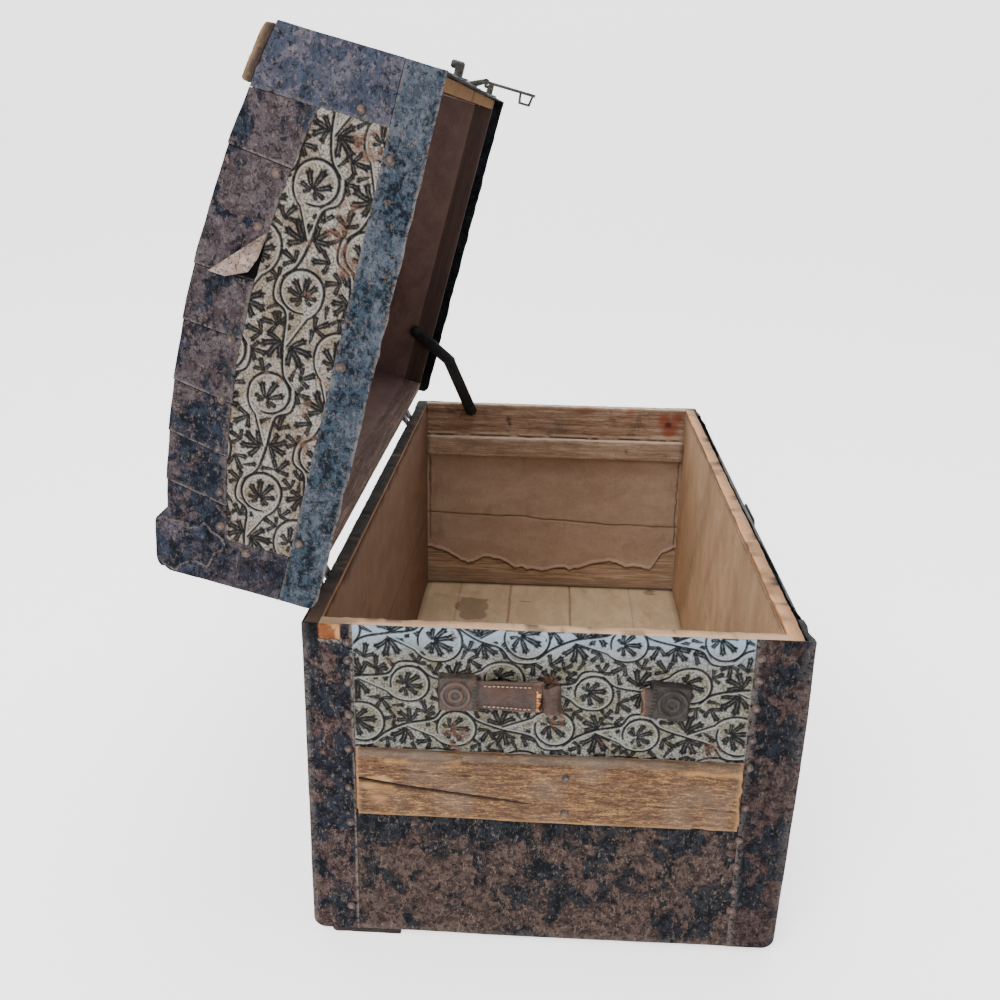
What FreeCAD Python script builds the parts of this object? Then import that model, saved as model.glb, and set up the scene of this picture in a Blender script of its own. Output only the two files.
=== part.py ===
"""Dome top trunk: a wooden chest clad in sheet iron and embossed tin, with a hinged lid.

Millimetres. +X runs along the length, -Y is the front, +Y the hinge side, +Z is up.
The origin lies on the surface that the trunk stands on, under the middle of the chest.
The lid is modelled closed and then turned open about its hinge line.
"""
import FreeCAD, Part
import math
import os

V = FreeCAD.Vector

# Driving dimensions of the chest
LENGTH = 860.0
WIDTH = 450.0
RIM_Z = 336.0
RUNNER_H = 6.0
CLAD = 2.0
TIN = 0.8
BOARD = 13.0
BOTTOM_RADIUS = 12.0
BAND_END_W = 45.0
BAND_LONG_W = 48.0
LOWER_SHEET_TOP = 143.0
SLAT_Z = (144.0, 210.0)
SLAT_T = 12.0
PLANK_SEAM_Z = 146.0
GAP = 0.4

# Driving dimensions of the lid, in the closed lid's own frame:
# y is 0 at the back face and -LID_DEPTH at the front, z is 0 at the wooden rim
LID_DEPTH = 464.0
LID_SIDE_H = 119.5
LID_CROWN_H = 148.0
LID_HALF_L = 432.5
LID_CLAD = 1.2
STAVE_T = 8.0
VALANCE = 14.0
RIM_BAND_H = 20.0
FRONT_BAND_W = 52.0
BACK_BAND_W = 43.0
ARCH_SIDE_H = 76.0
ARCH_CROWN_H = 99.0
LID_GAP = 0.5

# Hinge line and rest pose
HINGE_BEHIND = 10.1
HINGE_ABOVE_RIM = 9.0
OPEN_DEG = 75.3
HINGE_X = (-320.0, 320.0)
HINGE_W = 50.0
PIN_R = 2.5
RUN_CLEAR = 0.05

# Lid stay, in the plane of the right end: (y, z) of its pivots with the lid open
STAY_CHEST = (136.9, 327.4)
STAY_KNEE = (172.3, 406.5)
STAY_LID = (226.3, 452.1)
STAY_HALF_W = 9.0
STAY_T = 3.0
STUD_R = 3.0

# Hasp and lock
HASP_PROUD = 10.0
HASP_DROP = 12.0
HASP_LEN = 57.0
HASP_W = 15.0
HASP_T = 3.0
HASP_EYE_R = 3.4
HASP_PIN_R = 1.5
STAPLE_Z = (-52.0, -66.0)
STAPLE_DEPTH = 11.0
STAPLE_TAPER = 1.5
WIRE = 2.6
LOCK_FACE = 22.0
LOCK_SHEET = 1.5
PLATE_HALF = (36.0, 33.0)
CASE_HALF = (29.0, 27.0)
BOLT_X = (-24.0, -4.0)
BOLT_HALF_H = 3.5
SLOT_HALF = 3.0

# Side hasps on the chest front and the studs on the lid that they drop over
SIDE_X = (-235.0, 235.0)
SIDE_PROUD = 19.0
SIDE_PIVOT_Z = 292.0
SIDE_LEN = 58.0
SIDE_HALF_W = 11.0
SIDE_T = 3.0
SIDE_EYE_R = 4.0
SIDE_PIN_R = 2.0
STUD_LID_Z = -2.0
STUD_HALF = 4.0
STUD_REACH = 15.5
STUD_HEAD_T = 7.5
STUD_HEAD_UP = 9.0

# Handles
CAP_Y = (83.0, -107.0)
CAP_W = 38.0
CAP_Z = (254.0, 290.5)
CAP_T = 9.5
STRAP_T = 5.0
STRAP_Z = (258.0, 287.0)
STRAP_BOW = 24.0

# Nail heads: (radius, height) of their steps
NAIL_STEPS = ((4.2, 0.0), (3.5, 0.85), (1.7, 1.3))

# Slats of the dome and their iron clamps
LID_SLAT_T = 9.0
LID_SLAT_Y = ((-461.0, -415.0), (-333.0, -287.0), (-177.0, -131.0), (-48.0, -2.0))
MID_SLAT_HALF = 350.0
CLAMP_T = 1.2
CLAMP_L = 42.0
CLAMP_PLATE_Z = 94.0

# Derived places
HALF_L = LENGTH / 2
HALF_W = WIDTH / 2
WOOD_X = HALF_L - CLAD
WOOD_Y = HALF_W - CLAD
IN_X = WOOD_X - BOARD
IN_Y = WOOD_Y - BOARD
WOOD_Z = RUNNER_H + CLAD
FLOOR_Z = WOOD_Z + BOARD
HINGE_Y = HALF_W + HINGE_BEHIND
HINGE_Z = RIM_Z + HINGE_ABOVE_RIM
LID_Z = RIM_Z + LID_GAP
LID_WOOD_X = LID_HALF_L - LID_CLAD - TIN
LID_IN_X = LID_WOOD_X - BOARD
LID_OFF = LID_CLAD + TIN

os.makedirs("parts", exist_ok=True)


# ---------------------------------------------------------------- helpers
def box(x, y, z):
    """Box from three (low, high) pairs."""
    x, y, z = sorted(x), sorted(y), sorted(z)
    return Part.makeBox(x[1] - x[0], y[1] - y[0], z[1] - z[0], V(x[0], y[0], z[0]))


def cyl_x(y, z, r, x):
    """Cylinder along X."""
    x = sorted(x)
    return Part.makeCylinder(r, x[1] - x[0], V(x[0], y, z), V(1, 0, 0))


def cyl_y(x, z, r, y):
    """Cylinder along Y."""
    y = sorted(y)
    return Part.makeCylinder(r, y[1] - y[0], V(x, y[0], z), V(0, 1, 0))


def prism_x(points, x):
    """Polygon of (y, z) points pushed along X."""
    x = sorted(x)
    ring = [V(x[0], p[0], p[1]) for p in points]
    return Part.Face(Part.makePolygon(ring + ring[:1])).extrude(V(x[1] - x[0], 0, 0))


def prism_y(points, y):
    """Polygon of (x, z) points pushed along Y."""
    y = sorted(y)
    ring = [V(p[0], y[0], p[1]) for p in points]
    return Part.Face(Part.makePolygon(ring + ring[:1])).extrude(V(0, y[1] - y[0], 0))


def edges_along_y(shape, mid_y):
    """Straight edges of a plate that run through its thickness along Y."""
    found = []
    for e in shape.Edges:
        ends = [v.Point for v in e.Vertexes]
        straight = len(ends) == 2 and abs(ends[0].x - ends[1].x) + abs(ends[0].z - ends[1].z) < 0.01
        if straight and abs(e.CenterOfMass.y - mid_y) < 0.01:
            found.append(e)
    return found


def mirror_x(shape):
    return shape.mirror(V(0, 0, 0), V(1, 0, 0))


def mirror_y(shape):
    return shape.mirror(V(0, 0, 0), V(0, 1, 0))


def opened(shape):
    """Turn a piece of the closed lid to the open rest pose."""
    turned = shape.copy()
    turned.rotate(V(0, HINGE_Y, HINGE_Z), V(1, 0, 0), -OPEN_DEG)
    return turned


def solids(shape):
    return [s for s in shape.Solids if s.Volume > 1.0]


def save(name, shapes):
    """Write one node: every shape's solids as separate solids of one file."""
    shapes = shapes if isinstance(shapes, list) else [shapes]
    found = [s for shape in shapes for s in solids(shape)]
    Part.makeCompound(found).exportStep("parts/" + name + ".step")
    print(name, len(found), "solids", round(sum(s.Volume for s in found) / 1000.0, 1), "cm3")


# ---------------------------------------------------------------- chest
def chest_block(off):
    """Outer block of the chest, smaller by off, with its two long bottom edges rounded."""
    half_w = HALF_W - off
    low = RUNNER_H + off
    block = box((-HALF_L + off, HALF_L - off), (-half_w, half_w), (low, RIM_Z))
    edges = []
    for e in block.Edges:
        c = e.CenterOfMass
        if abs(c.z - low) < 0.01 and abs(abs(c.y) - half_w) < 0.01:
            edges.append(e)
    return block.makeFillet(BOTTOM_RADIUS - off, edges)


def planks(x, y, block):
    """A wall of two planks between the floor line and the rim."""
    lower = box(x, y, (WOOD_Z, PLANK_SEAM_Z - GAP / 2))
    upper = box(x, y, (PLANK_SEAM_Z + GAP / 2, RIM_Z))
    return [lower.common(block), upper.common(block)]


def walls(block):
    save("front_wall", planks((-WOOD_X, WOOD_X), (-WOOD_Y, -IN_Y), block))
    save("back_wall", planks((-WOOD_X, WOOD_X), (IN_Y, WOOD_Y), block))
    save("left_wall", planks((-WOOD_X, -IN_X), (-IN_Y, IN_Y), block))
    save("right_wall", planks((IN_X, WOOD_X), (-IN_Y, IN_Y), block))


def floor_boards():
    seams = [-IN_Y, -134.0, -34.0, 65.0, 150.0, IN_Y]
    boards = []
    for low, high in zip(seams, seams[1:]):
        boards.append(box((-IN_X, IN_X), (low + GAP / 2, high - GAP / 2), (WOOD_Z, FLOOR_Z)))
    save("floor_boards", boards)


def tray_cleats():
    cleat = box((-IN_X, -IN_X + 12), (-IN_Y + 1, IN_Y - 1), (252, 283))
    save("tray_cleats", [cleat, mirror_x(cleat)])


def corner_bands(shell):
    """Sheet-iron angles over the four upright corners, folded under the bottom."""
    column = box((-HALF_L, -HALF_L + BAND_LONG_W), (HALF_W - BAND_END_W, HALF_W), (0, RIM_Z - 0.5))
    back_left = shell.common(column)
    save("corner_band_back_left", back_left)
    save("corner_band_back_right", mirror_x(back_left))
    save("corner_band_front_left", mirror_y(back_left))
    save("corner_band_front_right", mirror_x(mirror_y(back_left)))


def lower_sheets(shell):
    """Plain sheet iron below the slats, folded 20 mm under the bottom."""
    fold = 20.0
    half_y = HALF_W - BAND_END_W - GAP / 2
    half_x = HALF_L - BAND_LONG_W - GAP / 2
    end = shell.common(box((-HALF_L, -HALF_L + fold), (-half_y, half_y), (0, LOWER_SHEET_TOP)))
    side = shell.common(box((-half_x, half_x), (-HALF_W, -HALF_W + fold), (0, LOWER_SHEET_TOP)))
    save("lower_sheets", [end, mirror_x(end), side, mirror_y(side)])


def chest_tins():
    """Embossed tin above the slats, between the corner bands."""
    half_y = HALF_W - BAND_END_W - GAP / 2
    half_x = HALF_L - BAND_LONG_W - GAP / 2
    z = (SLAT_Z[1] + 0.5, RIM_Z - 0.5)
    end = box((-WOOD_X - TIN, -WOOD_X), (-half_y, half_y), z)
    side = box((-half_x, half_x), (-WOOD_Y - TIN, -WOOD_Y), z)
    save("end_tins", [end, mirror_x(end)])
    save("long_tins", [side, mirror_y(side)])


def slat_profile(face):
    """Slat section standing on the wall face, its upper edge bevelled."""
    low, high = SLAT_Z
    return [(face, low), (face - SLAT_T, low), (face - SLAT_T, high - 8), (face - 5, high), (face, high)]


def chest_slats():
    half_y = HALF_W - BAND_END_W - 2.5
    half_x = HALF_L - BAND_LONG_W - 1.0
    end = prism_y(slat_profile(-WOOD_X), (-half_y, half_y))
    save("end_slat_left", end)
    save("end_slat_right", mirror_x(end))
    front = prism_x(slat_profile(-WOOD_Y), (-half_x, half_x))
    save("long_slats", [front, mirror_y(front)])
    low, high = SLAT_Z
    behind = WOOD_Y + 2.2
    clamp = box(
        (-half_x - 0.8, -half_x + CLAMP_L),
        (-WOOD_Y - SLAT_T - CLAMP_T, -behind),
        (low - CLAMP_T, high + CLAMP_T),
    )
    clamp = clamp.cut(front)
    clamps = [clamp, mirror_x(clamp)]
    save("slat_clamps", clamps + [mirror_y(c) for c in clamps])


def bottom_runners():
    """Three slats that the trunk stands on; the back one reaches the left end."""
    back = box((-HALF_L + 1, HALF_L - 14), (139, 207), (0, RUNNER_H))
    corner = [e for e in back.Edges if abs(e.CenterOfMass.y - 207) < 0.01 and e.CenterOfMass.z < 1]
    back = back.makeFillet(4.5, corner)
    front = box((-HALF_L + 14, HALF_L - 14), (-207, -139), (0, RUNNER_H))
    middle = box((-HALF_L + 40, HALF_L - 40), (-34, 34), (0, WOOD_Z))
    save("bottom_runners", [back, front, middle])


# ---------------------------------------------------------------- handles
def handle_caps():
    """Stamped square caps, each hollow and open towards the other one."""
    face = -WOOD_X - TIN
    caps = []
    for y, inward in ((CAP_Y[0], -1), (CAP_Y[1], 1)):
        cap = box((face - CAP_T, face), (y - CAP_W / 2, y + CAP_W / 2), CAP_Z)
        slot_z = (STRAP_Z[0] - 0.6, STRAP_Z[1] + 0.6)
        slot = box((face - 7.2, face - 1.2), (y - inward * 12, y + inward * 30), slot_z)
        caps.append(cap.cut(slot))
    save("handle_caps", caps + [mirror_x(c) for c in caps])


def leather_handles():
    """Two torn stubs on the left end, one whole strap that bows out on the right end."""
    face = -WOOD_X - TIN - 1.7
    long_stub = box((face - STRAP_T, face), (8, CAP_Y[0] + 10), STRAP_Z)
    short_stub = box((face - STRAP_T, face), (CAP_Y[1] - 10, -78), STRAP_Z)
    x = -face
    y0 = CAP_Y[1] - 10
    y1 = CAP_Y[0] + 10
    m0 = CAP_Y[1] + CAP_W / 2 + 2
    m1 = CAP_Y[0] - CAP_W / 2 - 2
    mid = (m0 + m1) / 2
    z = STRAP_Z[0]

    def arc(lift):
        return Part.Arc(V(x + lift, m0, z), V(x + STRAP_BOW + lift, mid, z), V(x + lift, m1, z)).toShape()

    def line(a, b):
        return Part.LineSegment(V(a[0], a[1], z), V(b[0], b[1], z)).toShape()

    edges = [
        line((x, y0), (x, m0)),
        arc(0.0),
        line((x, m1), (x, y1)),
        line((x, y1), (x + STRAP_T, y1)),
        line((x + STRAP_T, y1), (x + STRAP_T, m1)),
        arc(STRAP_T),
        line((x + STRAP_T, m0), (x + STRAP_T, y0)),
        line((x + STRAP_T, y0), (x, y0)),
    ]
    outline = Part.Wire(Part.__sortEdges__(edges))
    strap = Part.Face(outline).extrude(V(0, 0, STRAP_Z[1] - STRAP_Z[0]))
    save("leather_handles", [long_stub, short_stub, strap])


# ---------------------------------------------------------------- lock and side hasps
def staple_world_z():
    """Low and high z of the hasp staple's middle lines with the lid closed."""
    return LID_Z + STAPLE_Z[1], LID_Z + STAPLE_Z[0]


def lock():
    """Face plate, hollow case with bolt guides, and the bolt that slides through the staple."""
    low, high = staple_world_z()
    mid = (low + high) / 2
    front = -HALF_W - LOCK_FACE
    back = -WOOD_Y - TIN
    slot = box((-SLOT_HALF, SLOT_HALF), (front - 2, -WOOD_Y - 3), (low - 3.5, high + 3.5))
    key_y = (front - 2, front + 4)
    key_z = mid - 19
    keyhole = cyl_y(0, key_z, 2.6, key_y).fuse(box((-1.3, 1.3), key_y, (key_z - 6, key_z)))
    half_x, half_z = PLATE_HALF
    plate_z = (mid - half_z - 1, mid + half_z - 1)
    plate = box((-half_x, half_x), (front, front + LOCK_SHEET), plate_z)
    plate = plate.makeFillet(8.0, edges_along_y(plate, front + LOCK_SHEET / 2))
    save("lock_plate", plate.cut(slot).cut(keyhole))
    half_x, half_z = CASE_HALF
    case_z = (mid - half_z - 1, mid + half_z - 1)
    case = box((-half_x, half_x), (front + LOCK_SHEET, back), case_z)
    inside_y = (front + 2 * LOCK_SHEET, back - LOCK_SHEET)
    inside_x = half_x - 3
    case = case.cut(box((-inside_x, inside_x), inside_y, (case_z[0] + 3, case_z[1] - 3)))
    guide_x = (BOLT_X[0], BOLT_X[1] - 1)
    for side in (-1, 1):
        guide_z = (mid + side * (BOLT_HALF_H + 0.7), mid + side * (BOLT_HALF_H + 6.5))
        case = case.fuse(box(guide_x, inside_y, guide_z))
    save("lock_case", case.cut(slot).cut(keyhole))
    bolt_y = (inside_y[0] + 1, inside_y[0] + 4.4)
    save("lock_bolt", box(BOLT_X, bolt_y, (mid - BOLT_HALF_H, mid + BOLT_HALF_H)))


def side_hasps():
    """Brackets with pins on the chest front; from each pin hangs a slotted strap."""
    y = -HALF_W - SIDE_PROUD
    z = SIDE_PIVOT_Z
    back = -WOOD_Y - TIN
    brackets = []
    pins = []
    straps = []
    for x in SIDE_X:
        bracket = box((x - 17, x + 17), (back - 2.2, back), (z - 26, z + 12))
        for side in (-1, 1):
            ear_x = (x + side * (SIDE_HALF_W + 0.4), x + side * (SIDE_HALF_W + 3.6))
            ear = prism_x([(back - 2, z - 9), (back - 2, z + 9), (y, z + 4), (y, z - 4)], ear_x)
            bracket = bracket.fuse(ear).fuse(cyl_x(y, z, SIDE_EYE_R, ear_x))
        span = (x - SIDE_HALF_W - 4.6, x + SIDE_HALF_W + 4.6)
        brackets.append(bracket.cut(cyl_x(y, z, SIDE_PIN_R, span)))
        pins.append(cyl_x(y, z, SIDE_PIN_R, span))
        straps.append(side_strap(x, y, z))
    save("side_hasp_brackets", brackets)
    save("side_hasp_pins", pins)
    save("side_hasp_left", straps[0])
    save("side_hasp_right", straps[1])


def side_strap(x, y, z):
    """Flat strap hanging from an eye at (y, z), with a slot that drops over the lid's stud."""
    xs = (x - SIDE_HALF_W, x + SIDE_HALF_W)
    strap = box(xs, (y - SIDE_T / 2, y + SIDE_T / 2), (z - SIDE_LEN, z))
    foot = [e for e in edges_along_y(strap, y) if e.CenterOfMass.z < z - SIDE_LEN / 2]
    strap = strap.makeFillet(6.0, foot)
    strap = strap.fuse(cyl_x(y, z, SIDE_EYE_R, xs))
    strap = strap.cut(cyl_x(y, z, SIDE_PIN_R + RUN_CLEAR, xs))
    stud_z = 2 * SIDE_PIVOT_Z - LID_Z - STUD_LID_Z
    slot_x = STUD_HALF + 1.5
    return strap.cut(box((x - slot_x, x + slot_x), (y - SIDE_T, y + SIDE_T), (stud_z - 10, stud_z + 7)))


# ---------------------------------------------------------------- hinges
def hinge_parts():
    """Chest leaves with two knuckles, lid leaves with one, and their pins."""
    knuckle_r = 4.5
    inner = 8.0
    chest_leaves = []
    lid_leaves = []
    pins = []
    face = WOOD_Y + TIN
    for x in HINGE_X:
        plate = box((x - HINGE_W / 2, x + HINGE_W / 2), (face, face + 2), (RIM_Z - 74, RIM_Z - 6))
        chest = plate
        for side in (-1, 1):
            xs = (x + side * (inner + 0.2), x + side * HINGE_W / 2)
            prong = prism_x(
                [
                    (face, RIM_Z - 8),
                    (face + 2, RIM_Z - 9),
                    (HINGE_Y + knuckle_r - 0.6, HINGE_Z - 2),
                    (HINGE_Y - 2, HINGE_Z + 2),
                ],
                xs,
            )
            chest = chest.fuse(prong).fuse(cyl_x(HINGE_Y, HINGE_Z, knuckle_r, xs))
        chest = chest.cut(cyl_x(HINGE_Y, HINGE_Z, PIN_R, (x - HINGE_W, x + HINGE_W)))
        chest_leaves.append(chest)
        lid_face = HALF_W
        leaf = box((x - HINGE_W / 2, x + HINGE_W / 2), (lid_face, lid_face + 2), (LID_Z + 16, LID_Z + 84))
        web = prism_x(
            [
                (lid_face, LID_Z + 18),
                (lid_face, LID_Z + 8),
                (HINGE_Y - 2, HINGE_Z - 3),
                (HINGE_Y, HINGE_Z + 4),
                (lid_face + 2, LID_Z + 18),
            ],
            (x - inner, x + inner),
        )
        knuckle = cyl_x(HINGE_Y, HINGE_Z, knuckle_r, (x - inner, x + inner))
        leaf = leaf.fuse(web).fuse(knuckle)
        leaf = leaf.cut(cyl_x(HINGE_Y, HINGE_Z, PIN_R + RUN_CLEAR, (x - HINGE_W, x + HINGE_W)))
        lid_leaves.append(opened(leaf))
        pins.append(cyl_x(HINGE_Y, HINGE_Z, PIN_R, (x - HINGE_W / 2 - 1, x + HINGE_W / 2 + 1)))
    save("hinge_chest_leaves", chest_leaves)
    save("hinge_lid_leaves", lid_leaves)
    save("hinge_pins", pins)


# ---------------------------------------------------------------- lid
def lid_profile(off, low=0.0, crown_off=None):
    """Closed lid section as a face in the YZ plane: straight sides under a dome arc."""
    crown_off = off if crown_off is None else crown_off
    half = LID_DEPTH / 2
    mid_y = HALF_W - half
    rise = LID_CROWN_H - LID_SIDE_H
    radius = (half * half + rise * rise) / (2 * rise)
    r = radius - crown_off
    centre_z = LID_Z + LID_CROWN_H - radius
    side = half - off
    top = centre_z + math.sqrt(r * r - side * side)
    a = V(0, mid_y - side, LID_Z + low)
    b = V(0, mid_y + side, LID_Z + low)
    c = V(0, mid_y + side, top)
    d = V(0, mid_y - side, top)
    crown = V(0, mid_y, centre_z + r)
    edges = [
        Part.LineSegment(a, b).toShape(),
        Part.LineSegment(b, c).toShape(),
        Part.Arc(c, crown, d).toShape(),
        Part.LineSegment(d, a).toShape(),
    ]
    return Part.Face(Part.Wire(edges))


def lid_block(off, half_x, low=0.0, crown_off=None):
    """Closed lid section pushed along the length."""
    face = lid_profile(off, low, crown_off)
    face.translate(V(-half_x, 0, 0))
    return face.extrude(V(2 * half_x, 0, 0))


def lid_box(x, y, z):
    """Box in the closed lid's own y and z."""
    return box(x, (HALF_W + y[0], HALF_W + y[1]), (LID_Z + z[0], LID_Z + z[1]))


def lid_boards():
    under = lid_block(LID_OFF, LID_WOOD_X, 0.0, LID_OFF + STAVE_T + 0.1)
    full = (-LID_WOOD_X, LID_WOOD_X)
    front = (-LID_DEPTH + LID_OFF, -LID_DEPTH + LID_OFF + BOARD)
    back = (-LID_OFF - BOARD, -LID_OFF)
    tall = (-1, 200)
    save("lid_front_board", opened(under.common(lid_box(full, front, tall))))
    save("lid_back_board", opened(under.common(lid_box(full, back, tall))))
    end = under.common(lid_box((-LID_WOOD_X, -LID_IN_X), (front[1], back[0]), tall))
    save("lid_left_end", opened(end))
    save("lid_right_end", opened(mirror_x(end)))


def lid_staves():
    """Six boards side by side that make the dome."""
    slab = lid_block(LID_OFF, LID_WOOD_X).cut(lid_block(LID_OFF - 1, 500, -5, LID_OFF + STAVE_T))
    count = 6
    depth = LID_DEPTH - 2 * LID_OFF
    staves = []
    for i in range(count):
        low = -LID_DEPTH + LID_OFF + depth * i / count
        high = low + depth / count
        cut = lid_box((-500, 500), (low + GAP / 2, high - GAP / 2), (0, 200))
        staves.append(opened(slab.common(cut)))
    save("lid_staves", staves)


def lid_tins():
    face = lid_profile(LID_OFF)
    face.translate(V(-LID_WOOD_X - TIN, 0, 0))
    end = face.extrude(V(TIN, 0, 0))
    save("lid_end_tins", [opened(end), opened(mirror_x(end))])
    skin = lid_block(LID_CLAD, LID_WOOD_X).cut(lid_block(LID_OFF, 500, -5))
    side = (RIM_BAND_H, 200)
    all_x = (-500, 500)
    dome = skin.common(lid_box(all_x, (-LID_DEPTH + LID_OFF, -LID_OFF), (0, 200)))
    front = skin.common(lid_box(all_x, (-LID_DEPTH, -LID_DEPTH + LID_OFF), side))
    back = skin.common(lid_box(all_x, (-LID_OFF, 0), side))
    save("lid_dome_tin", opened(dome))
    save("lid_side_tins", [opened(front), opened(back)])


def under_arch():
    """Region of the lid's end below the arc band's inner edge."""
    y0 = HALF_W - LID_DEPTH + FRONT_BAND_W
    y1 = HALF_W - BACK_BAND_W
    mid = (y0 + y1) / 2
    low = LID_Z - 1
    edges = [
        Part.LineSegment(V(-500, y0, low), V(-500, y1, low)).toShape(),
        Part.LineSegment(V(-500, y1, low), V(-500, y1, LID_Z + ARCH_SIDE_H)).toShape(),
        Part.Arc(
            V(-500, y1, LID_Z + ARCH_SIDE_H),
            V(-500, mid, LID_Z + ARCH_CROWN_H),
            V(-500, y0, LID_Z + ARCH_SIDE_H),
        ).toShape(),
        Part.LineSegment(V(-500, y0, LID_Z + ARCH_SIDE_H), V(-500, y0, low)).toShape(),
    ]
    return Part.Face(Part.Wire(edges)).extrude(V(500 - LID_HALF_L + 10, 0, 0))


def lid_bands():
    """Sheet iron over the lid's edges: rim bands with a valance, corner bands and arc bands."""
    inner_x = LID_HALF_L - LID_CLAD
    shell = lid_block(0, LID_HALF_L, -VALANCE).cut(lid_block(LID_CLAD, inner_x, -VALANCE - 1))
    rim = (-VALANCE, RIM_BAND_H)
    ends = (-LID_HALF_L, -inner_x)
    end_rim = shell.common(lid_box(ends, (-LID_DEPTH, 0), rim))
    save("lid_end_rim_bands", [opened(end_rim), opened(mirror_x(end_rim))])
    long_x = (-inner_x, inner_x)
    front = shell.common(lid_box(long_x, (-LID_DEPTH, -LID_DEPTH + LID_CLAD), rim))
    save("lid_front_valance", opened(front))
    back = shell.common(lid_box(long_x, (-LID_CLAD, 0), (0, RIM_BAND_H)))
    save("lid_back_rim_band", opened(back))
    high = (RIM_BAND_H + GAP, 200)
    wrap = (-LID_HALF_L, -LID_HALF_L + 42)
    split_front = -LID_DEPTH + FRONT_BAND_W
    front_corner = shell.common(lid_box(wrap, (-LID_DEPTH, split_front - GAP), high))
    back_corner = shell.common(lid_box(wrap, (-BACK_BAND_W + GAP, 0), high))
    arc = shell.common(lid_box(wrap, (split_front, -BACK_BAND_W), high)).cut(under_arch())
    corners = [front_corner, back_corner]
    save("lid_corner_bands", [opened(c) for c in corners] + [opened(mirror_x(c)) for c in corners])
    save("lid_arc_bands", [opened(arc), opened(mirror_x(arc))])


def dome_sector(y, x, low, high):
    """Strip on the dome between two y values, from low to high above the dome."""
    half = LID_DEPTH / 2
    ring = lid_block(-30, 500, -5, -high).cut(lid_block(-31, 501, -6, -low))
    return ring.common(lid_box(x, y, (60, 260)))


def lid_slats():
    full = (-LID_HALF_L + 0.5, LID_HALF_L - 0.5)
    short = (-MID_SLAT_HALF, MID_SLAT_HALF)
    slats = []
    for i, y in enumerate(LID_SLAT_Y):
        x = short if i in (1, 2) else full
        slats.append(dome_sector(y, x, 0.0, LID_SLAT_T))
    save("lid_slats", [opened(s) for s in slats])
    save("lid_slat_clamps", [opened(c) for c in lid_clamps(slats)])


def lid_clamps(slats):
    """Iron caps over the slat ends; the left one of the front slat is missing."""
    clamps = []
    for i, y in enumerate(LID_SLAT_Y):
        wide = (y[0] - CLAMP_T, y[1] + CLAMP_T)
        for side in (-1, 1):
            if i == 0 and side < 0:
                continue
            half = MID_SLAT_HALF if i in (1, 2) else LID_HALF_L
            x = sorted((side * (half + CLAMP_T), side * (half - CLAMP_L)))
            clamp = dome_sector(wide, x, 0.0, LID_SLAT_T + CLAMP_T).cut(slats[i])
            if i in (0, 3):
                x = sorted((side * half, side * (half + CLAMP_T)))
                plate = lid_box(x, wide, (CLAMP_PLATE_Z, 200)).common(lid_block(-30, 500, -5, -1.0))
                clamp = clamp.fuse(plate).removeSplitter()
            clamps.append(clamp)
    return clamps


def catch_studs():
    """Studs with a rounded, upturned head, riveted to the lid's front edge."""
    face = -LID_DEPTH
    z = STUD_LID_Z
    top = z + STUD_HEAD_UP
    head_y = (face - STUD_REACH, face - STUD_REACH + STUD_HEAD_T)
    studs = []
    for x in SIDE_X:
        plate = lid_box((x - 12, x + 12), (face - 2, face), (z - 10, z + 22))
        xs = (x - STUD_HALF, x + STUD_HALF)
        head = lid_box(xs, head_y, (z - STUD_HALF, top))
        head = head.makeFillet(2.6, head.Edges)
        neck = lid_box(xs, (head_y[0] + 2.6, face - 1), (z - STUD_HALF, z + STUD_HALF))
        studs.append(opened(plate.fuse(neck).fuse(head)))
    save("catch_studs", studs)


# ---------------------------------------------------------------- hasp
def staple_block(root, tip, low, high, half_x):
    """Block that narrows from its root to its tip: the outside or the eye of the staple."""
    points = [(root, low), (root, high), (tip, high - STAPLE_TAPER), (tip, low + STAPLE_TAPER)]
    return prism_x(points, (-half_x, half_x))


def hasp():
    """Leaf fixed to the lid, pin, and a bar with a staple that swings on the pin."""
    front = HALF_W - LID_DEPTH
    y = front - HASP_PROUD
    z = LID_Z - HASP_DROP
    half = HASP_W / 2 + 3
    half_t = HASP_T / 2
    leaf = box((-half, half), (front - 2, front), (LID_Z + 6, LID_Z + 62))
    arm = prism_x(
        [
            (front, LID_Z + 14),
            (front, LID_Z + 3),
            (y + 2.4, z + 2),
            (y - 2.6, z + 2),
            (front - 2, LID_Z + 14),
        ],
        (-half, half),
    )
    leaf = leaf.fuse(arm).fuse(cyl_x(y, z, HASP_EYE_R, (-half, half)))
    leaf = leaf.cut(box((-3.7, 3.7), (y - 10, y + 6), (z - 6, z + 6)))
    leaf = leaf.cut(cyl_x(y, z, HASP_PIN_R, (-30, 30)))
    save("hasp_leaf", opened(leaf))
    save("hasp_pin", opened(cyl_x(y, z, HASP_PIN_R, (-half - 1, half + 1))))
    bar = box((-HASP_W / 2, HASP_W / 2), (y - half_t, y + half_t), (z - HASP_LEN, z - 5))
    corners = [e for e in edges_along_y(bar, y) if e.CenterOfMass.z < z - HASP_LEN / 2]
    bar = bar.makeChamfer(0.8, corners)
    neck = box((-HASP_EYE_R, HASP_EYE_R), (y - half_t, y + half_t), (z - 6, z))
    eye = cyl_x(y, z, HASP_EYE_R, (-HASP_EYE_R, HASP_EYE_R))
    low, high = staple_world_z()
    tip = y + half_t + STAPLE_DEPTH
    staple = staple_block(y + 1, tip, low - WIRE / 2, high + WIRE / 2, WIRE / 2)
    hole = staple_block(y + half_t, tip - WIRE, low + WIRE / 2, high - WIRE / 2, 9)
    bar = bar.fuse(neck).fuse(eye).fuse(staple.cut(hole))
    bar = bar.cut(cyl_x(y, z, HASP_PIN_R + RUN_CLEAR, (-30, 30)))
    save("hasp_bar", opened(bar))


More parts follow.
